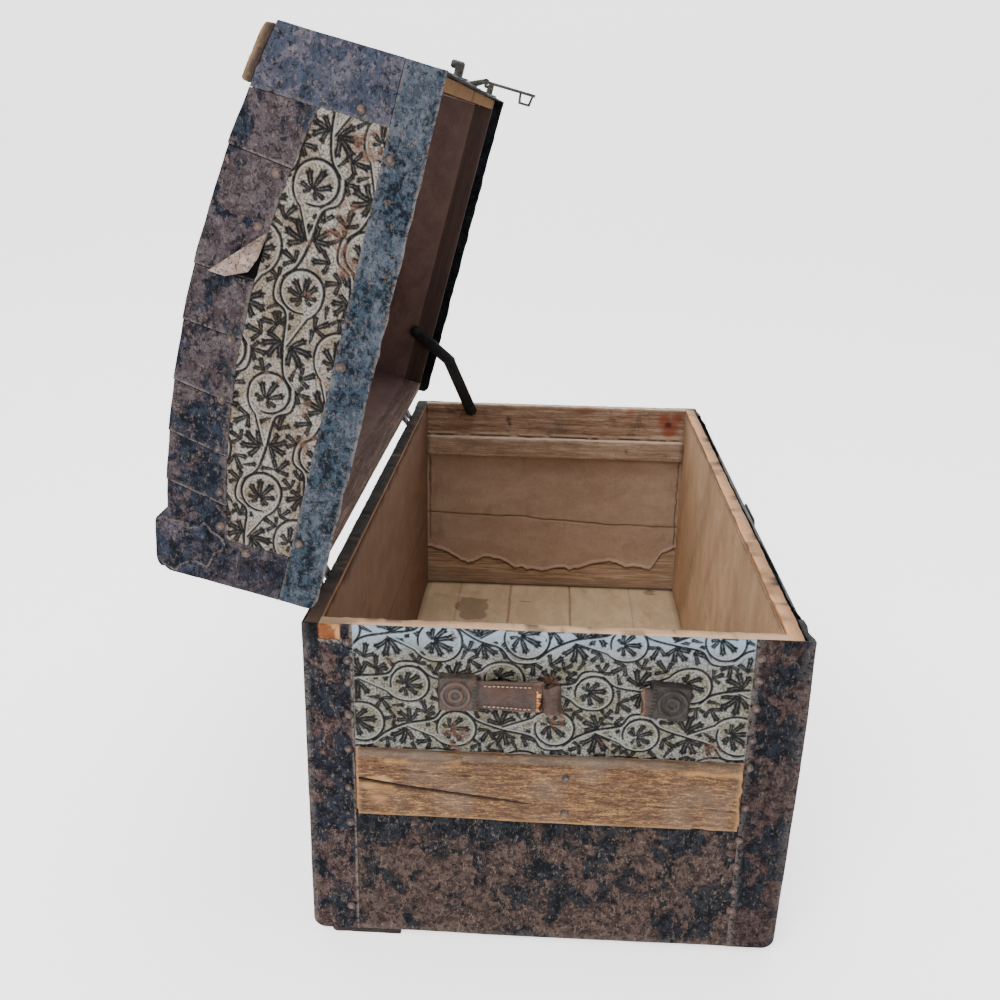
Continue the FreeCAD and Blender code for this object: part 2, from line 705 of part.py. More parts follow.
# ---------------------------------------------------------------- stay
def flat_link(p, q, x):
    """Flat bar with round ends between two (y, z) points."""
    dy, dz = q[0] - p[0], q[1] - p[1]
    length = math.hypot(dy, dz)
    ny, nz = -dz / length * STAY_HALF_W, dy / length * STAY_HALF_W
    body = prism_x(
        [
            (p[0] + ny, p[1] + nz),
            (q[0] + ny, q[1] + nz),
            (q[0] - ny, q[1] - nz),
            (p[0] - ny, p[1] - nz),
        ],
        x,
    )
    for end in (p, q):
        body = body.fuse(cyl_x(end[0], end[1], STAY_HALF_W, x))
    return body.removeSplitter()


def bored(link, pivot, r):
    """A stay arm with a round hole through it at a pivot."""
    return link.cut(cyl_x(pivot[0], pivot[1], r, (0, HALF_L)))


def headed_stud(pivot, parts):
    """Stepped round stud along X at a pivot, from (radius, low x, high x) steps."""
    steps = [cyl_x(pivot[0], pivot[1], r, (low, high)) for r, low, high in parts]
    stud = steps[0]
    for step in steps[1:]:
        stud = stud.fuse(step)
    return stud


def stay():
    """Two-link stay at the right end: the upper arm hangs on the lid, the lower on the chest."""
    up = (IN_X - 4, IN_X - 4 + STAY_T)
    low = (up[0] - 2 - STAY_T, up[0] - 2)
    head = 1.6
    gap = 0.3
    head_r = 2 * STUD_R
    upper = bored(flat_link(STAY_LID, STAY_KNEE, up), STAY_LID, STUD_R + RUN_CLEAR)
    save("stay_upper_arm", upper)
    lower = bored(flat_link(STAY_CHEST, STAY_KNEE, low), STAY_CHEST, STUD_R + RUN_CLEAR)
    save("stay_lower_arm", bored(lower, STAY_KNEE, STUD_R))
    knee = [(STUD_R, low[0], low[1]), (head_r, low[0] - head, low[0]), (head_r, low[1], up[0] - gap)]
    save("stay_knee_rivet", headed_stud(STAY_KNEE, knee))
    chest = [
        (head_r, low[1] + gap, IN_X),
        (STUD_R, low[0] - gap, low[1] + gap),
        (head_r, low[0] - gap - head, low[0] - gap),
    ]
    save("stay_chest_stud", headed_stud(STAY_CHEST, chest))
    lid = [
        (head_r, up[1] + gap, LID_IN_X),
        (STUD_R, up[0] - gap, up[1] + gap),
        (head_r, up[0] - gap - head, up[0] - gap),
    ]
    save("stay_lid_stud", headed_stud(STAY_LID, lid))


# ---------------------------------------------------------------- nails
def nail_x(y, z, x, out):
    """Low twelve-sided nail head on a face that looks along X."""
    rings = []
    for r, height in NAIL_STEPS:
        points = []
        for k in range(12):
            turn = math.radians(30.0 * k)
            points.append(V(x + out * height, y + r * math.cos(turn), z + r * math.sin(turn)))
        rings.append(Part.makePolygon(points + points[:1]))
    return Part.makeLoft(rings, True, True)


def chest_nails():
    band_back = [(184, 318), (184, 300), (184, 278), (184, 245)]
    band_back += [(185, 209), (186, 167), (186, 129), (187, 33)]
    band_front = [(-185, 318), (-185, 296), (-185, 268), (-184, 236), (-184, 207), (-184, 164)]
    band_front += [(-182, 129), (-181, 99), (-181, 72), (-181, 49)]
    nails = []
    for y, z in band_back + band_front:
        nails.append(nail_x(y, z, -HALF_L, -1))
        nails.append(nail_x(y, z, HALF_L, 1))
    slat_face = WOOD_X + SLAT_T
    for y, z in ((-17, 156), (-17, 193)):
        nails.append(nail_x(y, z, slat_face, 1))
        nails.append(nail_x(y, z, -slat_face, -1))
    save("chest_nails", nails)


def lid_nails():
    spots = [(-419, 44), (-356, 97), (-312, 103)]
    spots += [(-217, 107), (-166, 104), (-122, 99), (-85, 90), (-31, 83)]
    spots += [(-38, 57), (-220, 14), (-389, 14), (-58, 14)]
    nails = []
    for y, z in spots:
        nail = nail_x(HALF_W + y, LID_Z + z, -LID_HALF_L, -1)
        nails += [opened(nail), opened(mirror_x(nail))]
    save("lid_nails", nails)


# ---------------------------------------------------------------- paper lining
def linings():
    """Paper pasted on the inside of the chest and of the lid."""
    t = 0.6
    x0, y0 = IN_X, IN_Y
    end = box((-x0, -x0 + t), (-y0 + t, y0 - t), (FLOOR_Z + t, 252))
    side = box((-x0, x0), (-y0, -y0 + t), (FLOOR_Z + t, RIM_Z - 3))
    side = side.cut(box((-x0 - 1, -x0 + 13), (-y0 - 1, -y0 + 2), (251.5, 283.5)))
    side = side.cut(box((x0 - 13, x0 + 1), (-y0 - 1, -y0 + 2), (251.5, 283.5)))
    bottom = box((-x0, x0), (-y0, y0), (FLOOR_Z, FLOOR_Z + t))
    save("chest_lining", [end, mirror_x(end), side, mirror_y(side), bottom])
    inner = LID_OFF + BOARD
    crown = LID_OFF + STAVE_T + 0.2
    hollow = lid_block(inner, LID_IN_X, RIM_BAND_H + 6, crown)
    paper = hollow.cut(lid_block(inner + t, LID_IN_X - t, 0, crown + t))
    paper = opened(paper)
    paper = paper.cut(cyl_x(STAY_LID[0], STAY_LID[1], 7.0, (LID_IN_X - 3, LID_IN_X + 3)))
    save("lid_lining", paper)


def main():
    wood = chest_block(CLAD)
    shell = chest_block(0).cut(wood)
    walls(wood)
    floor_boards()
    tray_cleats()
    corner_bands(shell)
    lower_sheets(shell)
    chest_tins()
    chest_slats()
    bottom_runners()
    handle_caps()
    leather_handles()
    lock()
    side_hasps()
    hinge_parts()
    lid_boards()
    lid_staves()
    lid_tins()
    lid_bands()
    lid_slats()
    catch_studs()
    hasp()
    stay()
    chest_nails()
    lid_nails()
    linings()


main()
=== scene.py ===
"""Looks of the dome top trunk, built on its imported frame.

Geometry is worked out in millimetres. Pieces of the lid are made in the closed lid's frame, where the
lid sits flat on the chest, and turned open about the hinge line.
"""
import bmesh
import bpy
import math
import numpy as np
from mathutils import Matrix, Vector


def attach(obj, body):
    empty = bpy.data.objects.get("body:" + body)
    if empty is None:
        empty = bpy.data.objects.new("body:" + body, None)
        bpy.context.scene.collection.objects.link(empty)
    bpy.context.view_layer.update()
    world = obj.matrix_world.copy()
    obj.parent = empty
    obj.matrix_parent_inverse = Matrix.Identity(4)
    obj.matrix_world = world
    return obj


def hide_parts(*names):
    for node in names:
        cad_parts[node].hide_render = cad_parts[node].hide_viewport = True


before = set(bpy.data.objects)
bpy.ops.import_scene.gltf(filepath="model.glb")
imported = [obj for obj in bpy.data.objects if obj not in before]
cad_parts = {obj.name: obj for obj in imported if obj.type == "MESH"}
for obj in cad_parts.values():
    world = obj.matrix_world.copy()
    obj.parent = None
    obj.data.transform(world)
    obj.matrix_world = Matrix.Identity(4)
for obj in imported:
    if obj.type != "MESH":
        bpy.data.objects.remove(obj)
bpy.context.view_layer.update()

HINGE_Y, HINGE_Z = 235.1, 345.0
OPEN = math.radians(75.3)
LID_Y, LID_Z = 225.0, 336.5    # lower back edge of the closed lid, from which its own y and z are counted
LID_DEEP = 464.0               # the lid from back to front
RIM_Z = 336.0                  # top of the chest's walls
END_X = 430.0                  # outside of the chest's ends
TIN_X, TIN_Y = 428.8, 223.8    # faces of the tins on the chest's ends and long sides
LID_TIN_X = 431.3              # face of the tins on the lid's ends
CORNER_FRONT, CORNER_BACK = -412.0, -43.0    # inner edges of the lid's corner bands
LID_BAND_X = 432.6             # outside of the iron on the lid's ends
CAP_Z = 272.5                  # height of the handles
SEAM = 10.6                    # from the middle of a strap to its stitches
NAIL_R = 4.2                   # of a nail head
INSIDE_X, INSIDE_Y, FLOOR_Z = 413.8, 209.0, 21.4    # faces of the lining
ENDS = {-1: "left", 1: "right"}
SIDES = {-1: "front", 1: "back"}
LATTICE = {}                   # random numbers behind each noise, by seed
READS = {}                     # attributes that each material reads


# ------------------------------------------------------------------ numbers
def smooth(a, b, x):
    t = np.clip((x - a) / (b - a), 0.0, 1.0)
    return t * t * (3.0 - 2.0 * t)


def noise(points, size, seed=0, octaves=1):
    """Smooth noise from -1 to 1 at points in mm; size is the width of its largest cells."""
    points = np.asarray(points, float)
    total = np.zeros(points.shape[:-1])
    weight = 0.0
    for k in range(octaves):
        key = seed * 8 + k
        if key not in LATTICE:
            LATTICE[key] = np.random.RandomState(key).rand(32, 32, 32) * 2 - 1
        grid = LATTICE[key]
        q = points / (size / 2 ** k) + 500.0
        i = np.floor(q).astype(int)
        t = q - i
        t = t * t * (3 - 2 * t)
        i %= 32
        (x0, y0, z0), (x1, y1, z1), (tx, ty, tz) = (np.moveaxis(a, -1, 0) for a in (i, (i + 1) % 32, t))

        def across(z):
            ends = [grid[x0, y, z] * (1 - tx) + grid[x1, y, z] * tx for y in (y0, y1)]
            return ends[0] * (1 - ty) + ends[1] * ty

        total += (across(z0) * (1 - tz) + across(z1) * tz) * 0.5 ** k
        weight += 0.5 ** k
    return total / weight * 1.4


def opened(points):
    """Turn points of the closed lid to the open rest pose."""
    y = points[:, 1] - HINGE_Y
    z = points[:, 2] - HINGE_Z
    c, s = math.cos(OPEN), math.sin(OPEN)
    return np.stack([points[:, 0], HINGE_Y + y * c + z * s, HINGE_Z - y * s + z * c], 1)


def near(y, z, spots):
    """How close (y, z) is to any (y, z, radius) spot, from 0 to 1."""
    out = np.zeros(np.shape(y))
    for a, b, r in spots:
        out = np.maximum(out, smooth(1.3, 0.4, np.hypot(y - a, z - b) / r))
    return out


def line_distance(y, z, points):
    """Distance from (y, z) to a line of points, and how far along it the nearest place is (0 to 1)."""
    best = np.full(np.shape(y), 1e9)
    along = np.zeros(np.shape(y))
    count = len(points) - 1
    for k in range(count):
        (ay, az), (by, bz) = points[k], points[k + 1]
        dy, dz = by - ay, bz - az
        t = np.clip(((y - ay) * dy + (z - az) * dz) / (dy * dy + dz * dz), 0, 1)
        d = np.hypot(y - ay - t * dy, z - az - t * dz)
        along = np.where(d < best, (k + t) / count, along)
        best = np.minimum(best, d)
    return best, along


def xyz(x, y, z):
    """Points from coordinates that may be arrays or single numbers."""
    return np.stack(np.broadcast_arrays(x, y, z), -1).astype(float)


def facing(points, axis, sign):
    """Normals that all point along one axis."""
    normals = np.zeros_like(points)
    normals[..., axis] = sign
    return normals


# ------------------------------------------------------------------ scroll ornament
class Ornament:
    """One repeat of a scroll ornament that wraps both ways: relief and ink on a fine grid, in mm."""
    RES = 0.4                      # mm between the grid's points
    WIDE, HIGH = 344.0, 135.0      # mm of one repeat
    ROWS, COLUMNS = 3, 4           # of rings

    def __init__(self, seed):
        self.nx, self.ny = int(self.WIDE / self.RES), int(self.HIGH / self.RES)
        self.stem, self.line, self.leaf, self.rib = (np.full((self.ny, self.nx), 9.0) for _ in range(4))
        self.rng = np.random.RandomState(seed)
        self.draw()
        self.fill()
        ink = smooth(0.55, -0.1, self.leaf) * (1 - 0.65 * smooth(0.25, -0.2, self.rib))
        ink = np.maximum(ink, smooth(0.45, -0.15, self.line))
        ridge = smooth(0.5, -0.5, self.stem)
        self.ink = ink * (1 - 0.85 * smooth(0.2, -0.2, self.stem))
        self.relief = np.maximum(ridge, 0.85 * smooth(0.4, -0.3, self.rib)) - 0.4 * self.ink
        self.relief += 0.35 * smooth(2.2, 0.4, np.minimum(self.leaf, self.line)) * (1 - self.ink)

    def stroke(self, field, points, widths):
        """Lower field to the signed distance from a stroke with these half widths."""
        reach = 5.5
        for (ax, ay), (bx, by), w0, w1 in zip(points, points[1:], widths, widths[1:]):
            dx, dy = bx - ax, by - ay
            cx, cy = (ax + bx) / 2, (ay + by) / 2
            size = math.hypot(dx, dy) / 2 + reach
            i = np.arange(int((cx - size) / self.RES) - 1, int((cx + size) / self.RES) + 2)
            j = np.arange(int((cy - size) / self.RES) - 1, int((cy + size) / self.RES) + 2)
            x, y = np.meshgrid(i * self.RES, j * self.RES)
            t = np.clip(((x - ax) * dx + (y - ay) * dy) / (dx * dx + dy * dy + 1e-9), 0, 1)
            d = np.hypot(x - ax - t * dx, y - ay - t * dy) - (w0 + (w1 - w0) * t)
            where = np.ix_(j % self.ny, i % self.nx)
            field[where] = np.minimum(field[where], d)

    @staticmethod
    def curl(x, y, a, length, bend, count=9):
        """Points of a curved line that starts at angle a and turns by bend."""
        points = [(x, y)]
        for _ in range(count):
            a += bend / count
            x += math.cos(a) * length / count
            y += math.sin(a) * length / count
            points.append((x, y))
        return points

    def blade(self, x, y, a, length, w, bend=0.0):
        """Curved leaf that swells towards its pointed tip, with a light rib."""
        points = self.curl(x, y, a, length, bend)
        q = np.linspace(0, 1, len(points))
        widths = w * (0.42 + 1.8 * q) * np.clip(1 - q ** 3, 0, 1)
        self.stroke(self.leaf, points, np.maximum(widths, 0.12))
        self.stroke(self.rib, points[2:8], np.linspace(0.24, 0.10, 6) * min(1.0, w / 1.9))
        return points

    def petal(self, x, y, a, length, w, bend=0.0):
        """Blade with two side lobes near its tip."""
        bx, by = self.blade(x, y, a, length, w, bend)[6]
        a += bend * 0.6
        for side in (-1, 1):
            points = self.curl(bx, by, a + side * 1.05, length * 0.25 + 0.7, -side * 0.6, 3)
            self.stroke(self.leaf, points, np.array([0.6, 0.75, 0.5, 0.12]) * w)

    def flower(self, cx, cy, r, a, count):
        """Fan of petals inside a ring, spreading from an off-centre dot."""
        off = self.rng.uniform(0.34, 0.5)
        hx, hy = cx - r * off * math.cos(a), cy - r * off * math.sin(a)
        for k in range(count):
            t = a + (k / (count - 1) - 0.5) * math.radians(self.rng.uniform(235, 290))
            dx, dy = math.cos(t), math.sin(t)
            b = (hx - cx) * dx + (hy - cy) * dy
            c = (hx - cx) ** 2 + (hy - cy) ** 2 - (0.88 * r) ** 2
            length = -b + math.sqrt(b * b - c) - 2.0
            self.petal(hx + dx * 1.8, hy + dy * 1.8, t, length, 0.72 + 0.078 * length, 0.2)
        self.stroke(self.stem, [(hx, hy), (hx + 0.01, hy)], [1.1, 1.1])

    def fan(self, x, y, a, size, count, spread, bend=0.0):
        """Petals that spread from one point, the middle ones longest."""
        for k in range(count):
            f = k / (count - 1) - 0.5
            length = size * (1 - 0.55 * abs(f))
            t = a + f * spread
            self.petal(x + math.cos(t), y + math.sin(t), t, length, 0.65 + 0.085 * length, f * 1.1 + bend)

    def stem_line(self, points, w, side):
        """Raised stem with a dark line along one side."""
        points = np.array(points)
        along = np.gradient(points, axis=0)
        along /= np.linalg.norm(along, axis=1)[:, None] + 1e-9
        beside = points + side * 1.5 * np.stack([-along[:, 1], along[:, 0]], 1)
        t = np.linspace(0, 1, len(points))
        self.stroke(self.stem, points, w * (1 - 0.25 * t))
        self.stroke(self.line, beside, 0.75 + 0.6 * np.sin(t * math.pi) ** 0.6)

    def draw(self):
        """Rows of rings, each with a flower, strung on a stem that winds from ring to ring."""
        rng = self.rng
        step = self.WIDE / self.COLUMNS
        for row in range(self.ROWS):
            rings = []
            for k in range(self.COLUMNS):
                side = -1 if k % 2 else 1
                y = self.HIGH * (row + 0.5) / self.ROWS + side * 3.5 + rng.uniform(-2.5, 2.5)
                x = step * (k + (0, 0.5, 0.22)[row]) + rng.uniform(-5, 5)
                rings.append((x, y, rng.uniform(14.5, 18.5), side))

            def ring(k):
                x, y, r, side = rings[k % self.COLUMNS]
                return x + self.WIDE * (k // self.COLUMNS), y, r, side

            for k in range(self.COLUMNS):
                knots = []
                for j in (k - 1, k, k + 1, k + 2):
                    x, y, r, side = ring(j)
                    nx, ny, nr, _ = ring(j + 1)
                    knots += [(x - r * 0.45, y - side * (r + 3.6)), (x + r * 0.6, y - side * (r + 3.8)),
                              (x + r * 1.22, y - side * r * 0.5), ((x + nx) / 2 + 2, (y + ny) / 2),
                              (nx - nr * 1.25, ny + side * nr * 0.6)]
                path = []
                for j in range(5, 10):
                    p0, p1, p2, p3 = (np.array(knots[j + i]) for i in (-1, 0, 1, 2))
                    square, cube = 2 * p0 - 5 * p1 + 4 * p2 - p3, 3 * p1 - p0 - 3 * p2 + p3
                    for t in np.linspace(0, 1, 10, endpoint=False):
                        path.append(0.5 * (2 * p1 + (p2 - p0) * t + square * t ** 2 + cube * t ** 3))
                x, y, r, side = ring(k)
                nx, ny = ring(k + 1)[:2]
                mx, my = (x + nx) / 2 + 2, (y + ny) / 2
                self.stem_line(path, 0.85, -side)
                a0 = math.atan2(my - y, mx - x)
                spiral = [(mx, my)]
                for t in np.linspace(0, 2 * math.pi * 0.98, 60):
                    rr = r + 5.0 * max(0.0, 1 - t / 1.2) ** 1.5
                    a = a0 + side * (t + 0.45)
                    spiral.append((x + rr * math.cos(a), y + rr * math.sin(a)))
                self.stem_line(spiral, 0.85, -side)
                end = a0 + side * 0.35
                self.flower(x, y, r - 1.0, end + math.pi + rng.uniform(-0.4, 0.4), rng.choice([7, 7, 8]))
                up = side * math.pi / 2
                down = -up - side * 0.5 + 0.3
                self.fan(x - r * 0.3, y - side * (r + 5.0), down, rng.uniform(12, 15), 3, 1.5, side * 0.5)
                self.fan(mx + 1, my + side * 3, up + rng.uniform(-0.6, 0.6), rng.uniform(19, 23), 4, 1.7, 0.6)
                self.fan(mx - 2, my - side * 3, -up + rng.uniform(-0.6, 0.6), rng.uniform(16, 20), 4, 1.6, -0.6)
                away = math.pi - side * 0.3 + rng.uniform(-0.4, 0.4)
                self.fan(mx - 16, my - side * 9, away, rng.uniform(14, 17), 3, 1.3, 0.5)

    def fill(self):
        """Put fans of leaves into the widest empty places, then single leaves."""
        rng = self.rng
        for _ in range(60):
            free = np.minimum(np.minimum(self.stem, self.leaf), self.line)[::4, ::4]
            free = free + rng.rand(*free.shape) * 0.3
            j, i = np.unravel_index(np.argmax(free), free.shape)
            room = free[j, i]
            if room < 4.3:
                break
            x, y = i * 4 * self.RES, j * 4 * self.RES
            a = rng.uniform(0, 2 * math.pi)
            c, s = math.cos(a), math.sin(a)
            if room > 5.4:
                size = min(room, 8.0) * 1.9
                self.fan(x - c * size * 0.5, y - s * size * 0.5, a, size, 3, 1.5, rng.uniform(-0.5, 0.5))
            else:
                self.petal(x - c * room, y - s * room, a, room * 2.3, 0.5 + 0.16 * room, rng.uniform(-0.8, 0.8))

    def sample(self, u, v, blur=0):
        """Relief and ink at (u, v), softened by blur passes."""
        out = []
        for grid in (self.relief, self.ink):
            for _ in range(blur):
                grid = (np.roll(grid, 1, 0) + grid * 2 + np.roll(grid, -1, 0)) / 4
                grid = (np.roll(grid, 1, 1) + grid * 2 + np.roll(grid, -1, 1)) / 4
            x, y = np.asarray(u) / self.RES, np.asarray(v) / self.RES
            i, j = np.floor(x).astype(int), np.floor(y).astype(int)
            tx, ty = x - i, y - j
            i0, i1, j0, j1 = i % self.nx, (i + 1) % self.nx, j % self.ny, (j + 1) % self.ny
            low = grid[j0, i0] * (1 - tx) + grid[j0, i1] * tx
            high = grid[j1, i0] * (1 - tx) + grid[j1, i1] * tx
            out.append(low * (1 - ty) + high * ty)
        return out

# ------------------------------------------------------------------ meshes
def blank(material, count):
    """Zeros for each attribute that a material reads."""
    return {key: np.zeros(count) for key in READS.get(material.name, ())}


def piece(name, points, faces, material, body, nodes=(), attrs=None, lid=None, angle=38.0):
    """A mesh object that rides on a body and stands for CAD nodes; lid says that it is made in the lid's frame."""
    points = np.asarray(points, float)
    if lid or (lid is None and body == "lid"):
        points = opened(points)
    mesh = bpy.data.meshes.new(name)
    mesh.from_pydata((points * 0.001).tolist(), [], faces)
    mesh.materials.append(material)
    values = blank(material, len(points))
    values.update(attrs or {})
    for key, value in values.items():
        layer = mesh.attributes.new(key, "FLOAT", "POINT")
        layer.data.foreach_set("value", (np.zeros(len(points)) + np.ravel(value)).astype(np.float32))
    mesh.shade_smooth()
    mesh.set_sharp_from_angle(angle=math.radians(angle))
    ob = bpy.data.objects.new(name, mesh)
    bpy.context.scene.collection.objects.link(ob)
    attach(ob, body)
    if nodes:
        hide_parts(*nodes)


def tube(grid, capped=True):
    """Faces around a grid of (rows, ring) points, with a cap at both ends."""
    idx = np.arange(grid.shape[0] * grid.shape[1]).reshape(grid.shape[:2])
    nxt = np.roll(idx, -1, 1)
    faces = np.stack([idx[:-1], nxt[:-1], nxt[1:], idx[1:]], -1).reshape(-1, 4).tolist()
    return faces + ([idx[0, ::-1].tolist(), idx[-1].tolist()] if capped else [])


def joined(parts):
    """Points, faces and attributes of several (points, faces, attributes) as one mesh."""
    points, faces, attrs, base = [], [], {}, 0
    for p, f, values in parts:
        points.append(p)
        faces += [[i + base for i in face] for face in f]
        base += len(p)
        for key, value in values.items():
            attrs.setdefault(key, []).append(np.zeros(len(p)) + np.ravel(value))
    return np.concatenate(points), faces, {key: np.concatenate(value) for key, value in attrs.items()}


def plate(points, normals, height, depth):
    """Points and faces of a closed thin solid: a raised front grid, side walls and a plain back."""
    nv, nu = height.shape
    front = (points + normals * height[..., None]).reshape(-1, 3)
    idx = np.arange(nv * nu).reshape(nv, nu)
    quads = np.stack([idx[:-1, :-1], idx[:-1, 1:], idx[1:, 1:], idx[1:, :-1]], -1).reshape(-1, 4)
    ring = np.concatenate([idx[0, :-1], idx[:-1, -1], idx[-1, :0:-1], idx[:0:-1, 0]])
    back = (points - normals * depth).reshape(-1, 3)[ring]
    base, m = nv * nu, len(ring)
    faces = quads.tolist()
    faces += [[int(ring[k]), base + k, base + (k + 1) % m, int(ring[(k + 1) % m])] for k in range(m)]
    place = {int(r): base + k for k, r in enumerate(ring)}
    left = [place[int(i)] for i in idx[:, 0]]
    right = [place[int(i)] for i in idx[:, -1]]
    faces.append([left[1], right[1]] + [place[int(i)] for i in idx[0, ::-1]])
    for j in range(1, nv - 2):
        faces.append([left[j], left[j + 1], right[j + 1], right[j]])
    faces.append([right[-2], left[-2]] + [place[int(i)] for i in idx[-1]])
    a, b, c = front[quads[0, 0]], front[quads[0, 1]], front[quads[0, 2]]
    if np.dot(np.cross(b - a, c - a), normals[0, 0]) < 0:
        faces = [f[::-1] for f in faces]
    return np.concatenate([front, back]), faces, ring


def on_plate(values, ring):
    """Values of a grid, followed by those of its back outline."""
    values = np.asarray(values, float).ravel()
    return np.concatenate([values, values[ring]])


def from_bmesh(bm):
    """Points, faces and normals of a bmesh, which is freed."""
    bm.normal_update()
    bm.verts.index_update()
    points = np.array([v.co[:] for v in bm.verts])
    normals = np.array([v.normal[:] for v in bm.verts])
    faces = [[v.index for v in f.verts] for f in bm.faces]
    bm.free()
    return points, faces, normals


def cut(node, step, bevel, lid, planes=()):
    """Points, faces and normals of a CAD node with eased edges, cut up for shaping: along each axis into
    lengths of about step, and along planes of (point, normal)."""
    bm = bmesh.new()
    bm.from_mesh(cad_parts[node].data)
    bmesh.ops.scale(bm, vec=(1000, 1000, 1000), verts=bm.verts)
    bmesh.ops.remove_doubles(bm, verts=bm.verts, dist=0.004)
    if lid:
        bmesh.ops.rotate(bm, verts=bm.verts, cent=(0, HINGE_Y, HINGE_Z), matrix=Matrix.Rotation(OPEN, 3, "X"))
    bmesh.ops.dissolve_limit(bm, angle_limit=math.radians(0.8), verts=bm.verts, edges=bm.edges)
    if bevel:
        edges = [e for e in bm.edges if len(e.link_faces) == 2 and e.calc_face_angle(0) > math.radians(32)]
        bmesh.ops.bevel(bm, geom=edges, offset=bevel, segments=2, profile=0.5, affect="EDGES", clamp_overlap=True)
        bmesh.ops.remove_doubles(bm, verts=bm.verts, dist=0.004)
    cuts = []
    for axis, size in enumerate(step):
        if size:
            values = [v.co[axis] for v in bm.verts]
            low, high = min(values), max(values)
            count = max(1, round((high - low) / size))
            way = [float(k == axis) for k in range(3)]
            cuts += [([w * (low + (high - low) * k / count) for w in way], way) for k in range(1, count)]
    for at, normal in cuts + list(planes):
        geom = bm.verts[:] + bm.edges[:] + bm.faces[:]
        bmesh.ops.bisect_plane(bm, geom=geom, dist=0.02, plane_co=at, plane_no=normal)
    bmesh.ops.triangulate(bm, faces=[f for f in bm.faces if len(f.verts) > 4])
    return from_bmesh(bm)


def shaped(node, step, material, bevel, lid, planes, relief, change):
    """Points, faces and attributes of a CAD node that is cut up and pushed out by relief, and as change says."""
    points, faces, normals = cut(node, step, bevel, lid, planes)
    attrs = blank(material, len(points))
    push = relief(points)
    if change:
        push = change(points, push, attrs)
    return points + normals * push[:, None], faces, attrs


def sweep(profile, normals, along, raise_by, wobble):
    """Closed bar of an (x, z) profile swept along y: its grid, raised along the profile's normals and then shifted
    along y, and its faces."""
    grid = xyz(profile[:, 0], along[:, None], profile[:, 1])
    x, y, z = grid[..., 0], grid[..., 1], grid[..., 2]
    height = raise_by(x, y, z)
    x += normals[:, 0] * height
    z += normals[:, 1] * height
    y += wobble(x, y, z)
    return grid, tube(grid)


def rounded(corners, r, spacing):
    """Outline of (a, b) corners with rounded corners, as evenly spaced points and outward normals."""
    dense = []
    n = len(corners)
    for k in range(n):
        p0, p1, p2 = (np.array(corners[(k + i) % n], float) for i in (-1, 0, 1))
        d0, d1 = p0 - p1, p2 - p1
        d0 /= np.linalg.norm(d0)
        d1 /= np.linalg.norm(d1)
        for t in np.linspace(0, 1, 6):
            dense.append((1 - t) ** 2 * (p1 + d0 * r) + 2 * t * (1 - t) * p1 + t * t * (p1 + d1 * r))
    dense = np.array(dense + dense[:1])
    run = np.concatenate([[0], np.cumsum(np.linalg.norm(np.diff(dense, axis=0), axis=1))])
    count = max(8, int(run[-1] / spacing))
    at = np.linspace(0, run[-1], count, endpoint=False)
    points = np.stack([np.interp(at, run, dense[:, i]) for i in (0, 1)], 1)
    tangent = np.roll(points, -1, 0) - np.roll(points, 1, 0)
    tangent /= np.linalg.norm(tangent, axis=1)[:, None]
    normals = np.stack([tangent[:, 1], -tangent[:, 0]], 1)
    middle = points.mean(0)
    if np.sum((points - middle) * normals) < 0:
        normals = -normals
    return points, normals

# ------------------------------------------------------------------ materials
def rgb(r, g, b):
    """Linear colour from 0-255 display values."""
    out = []
    for c in (r, g, b):
        c /= 255.0
        out.append(c / 12.92 if c <= 0.04045 else ((c + 0.055) / 1.055) ** 2.4)
    return (*out, 1.0)


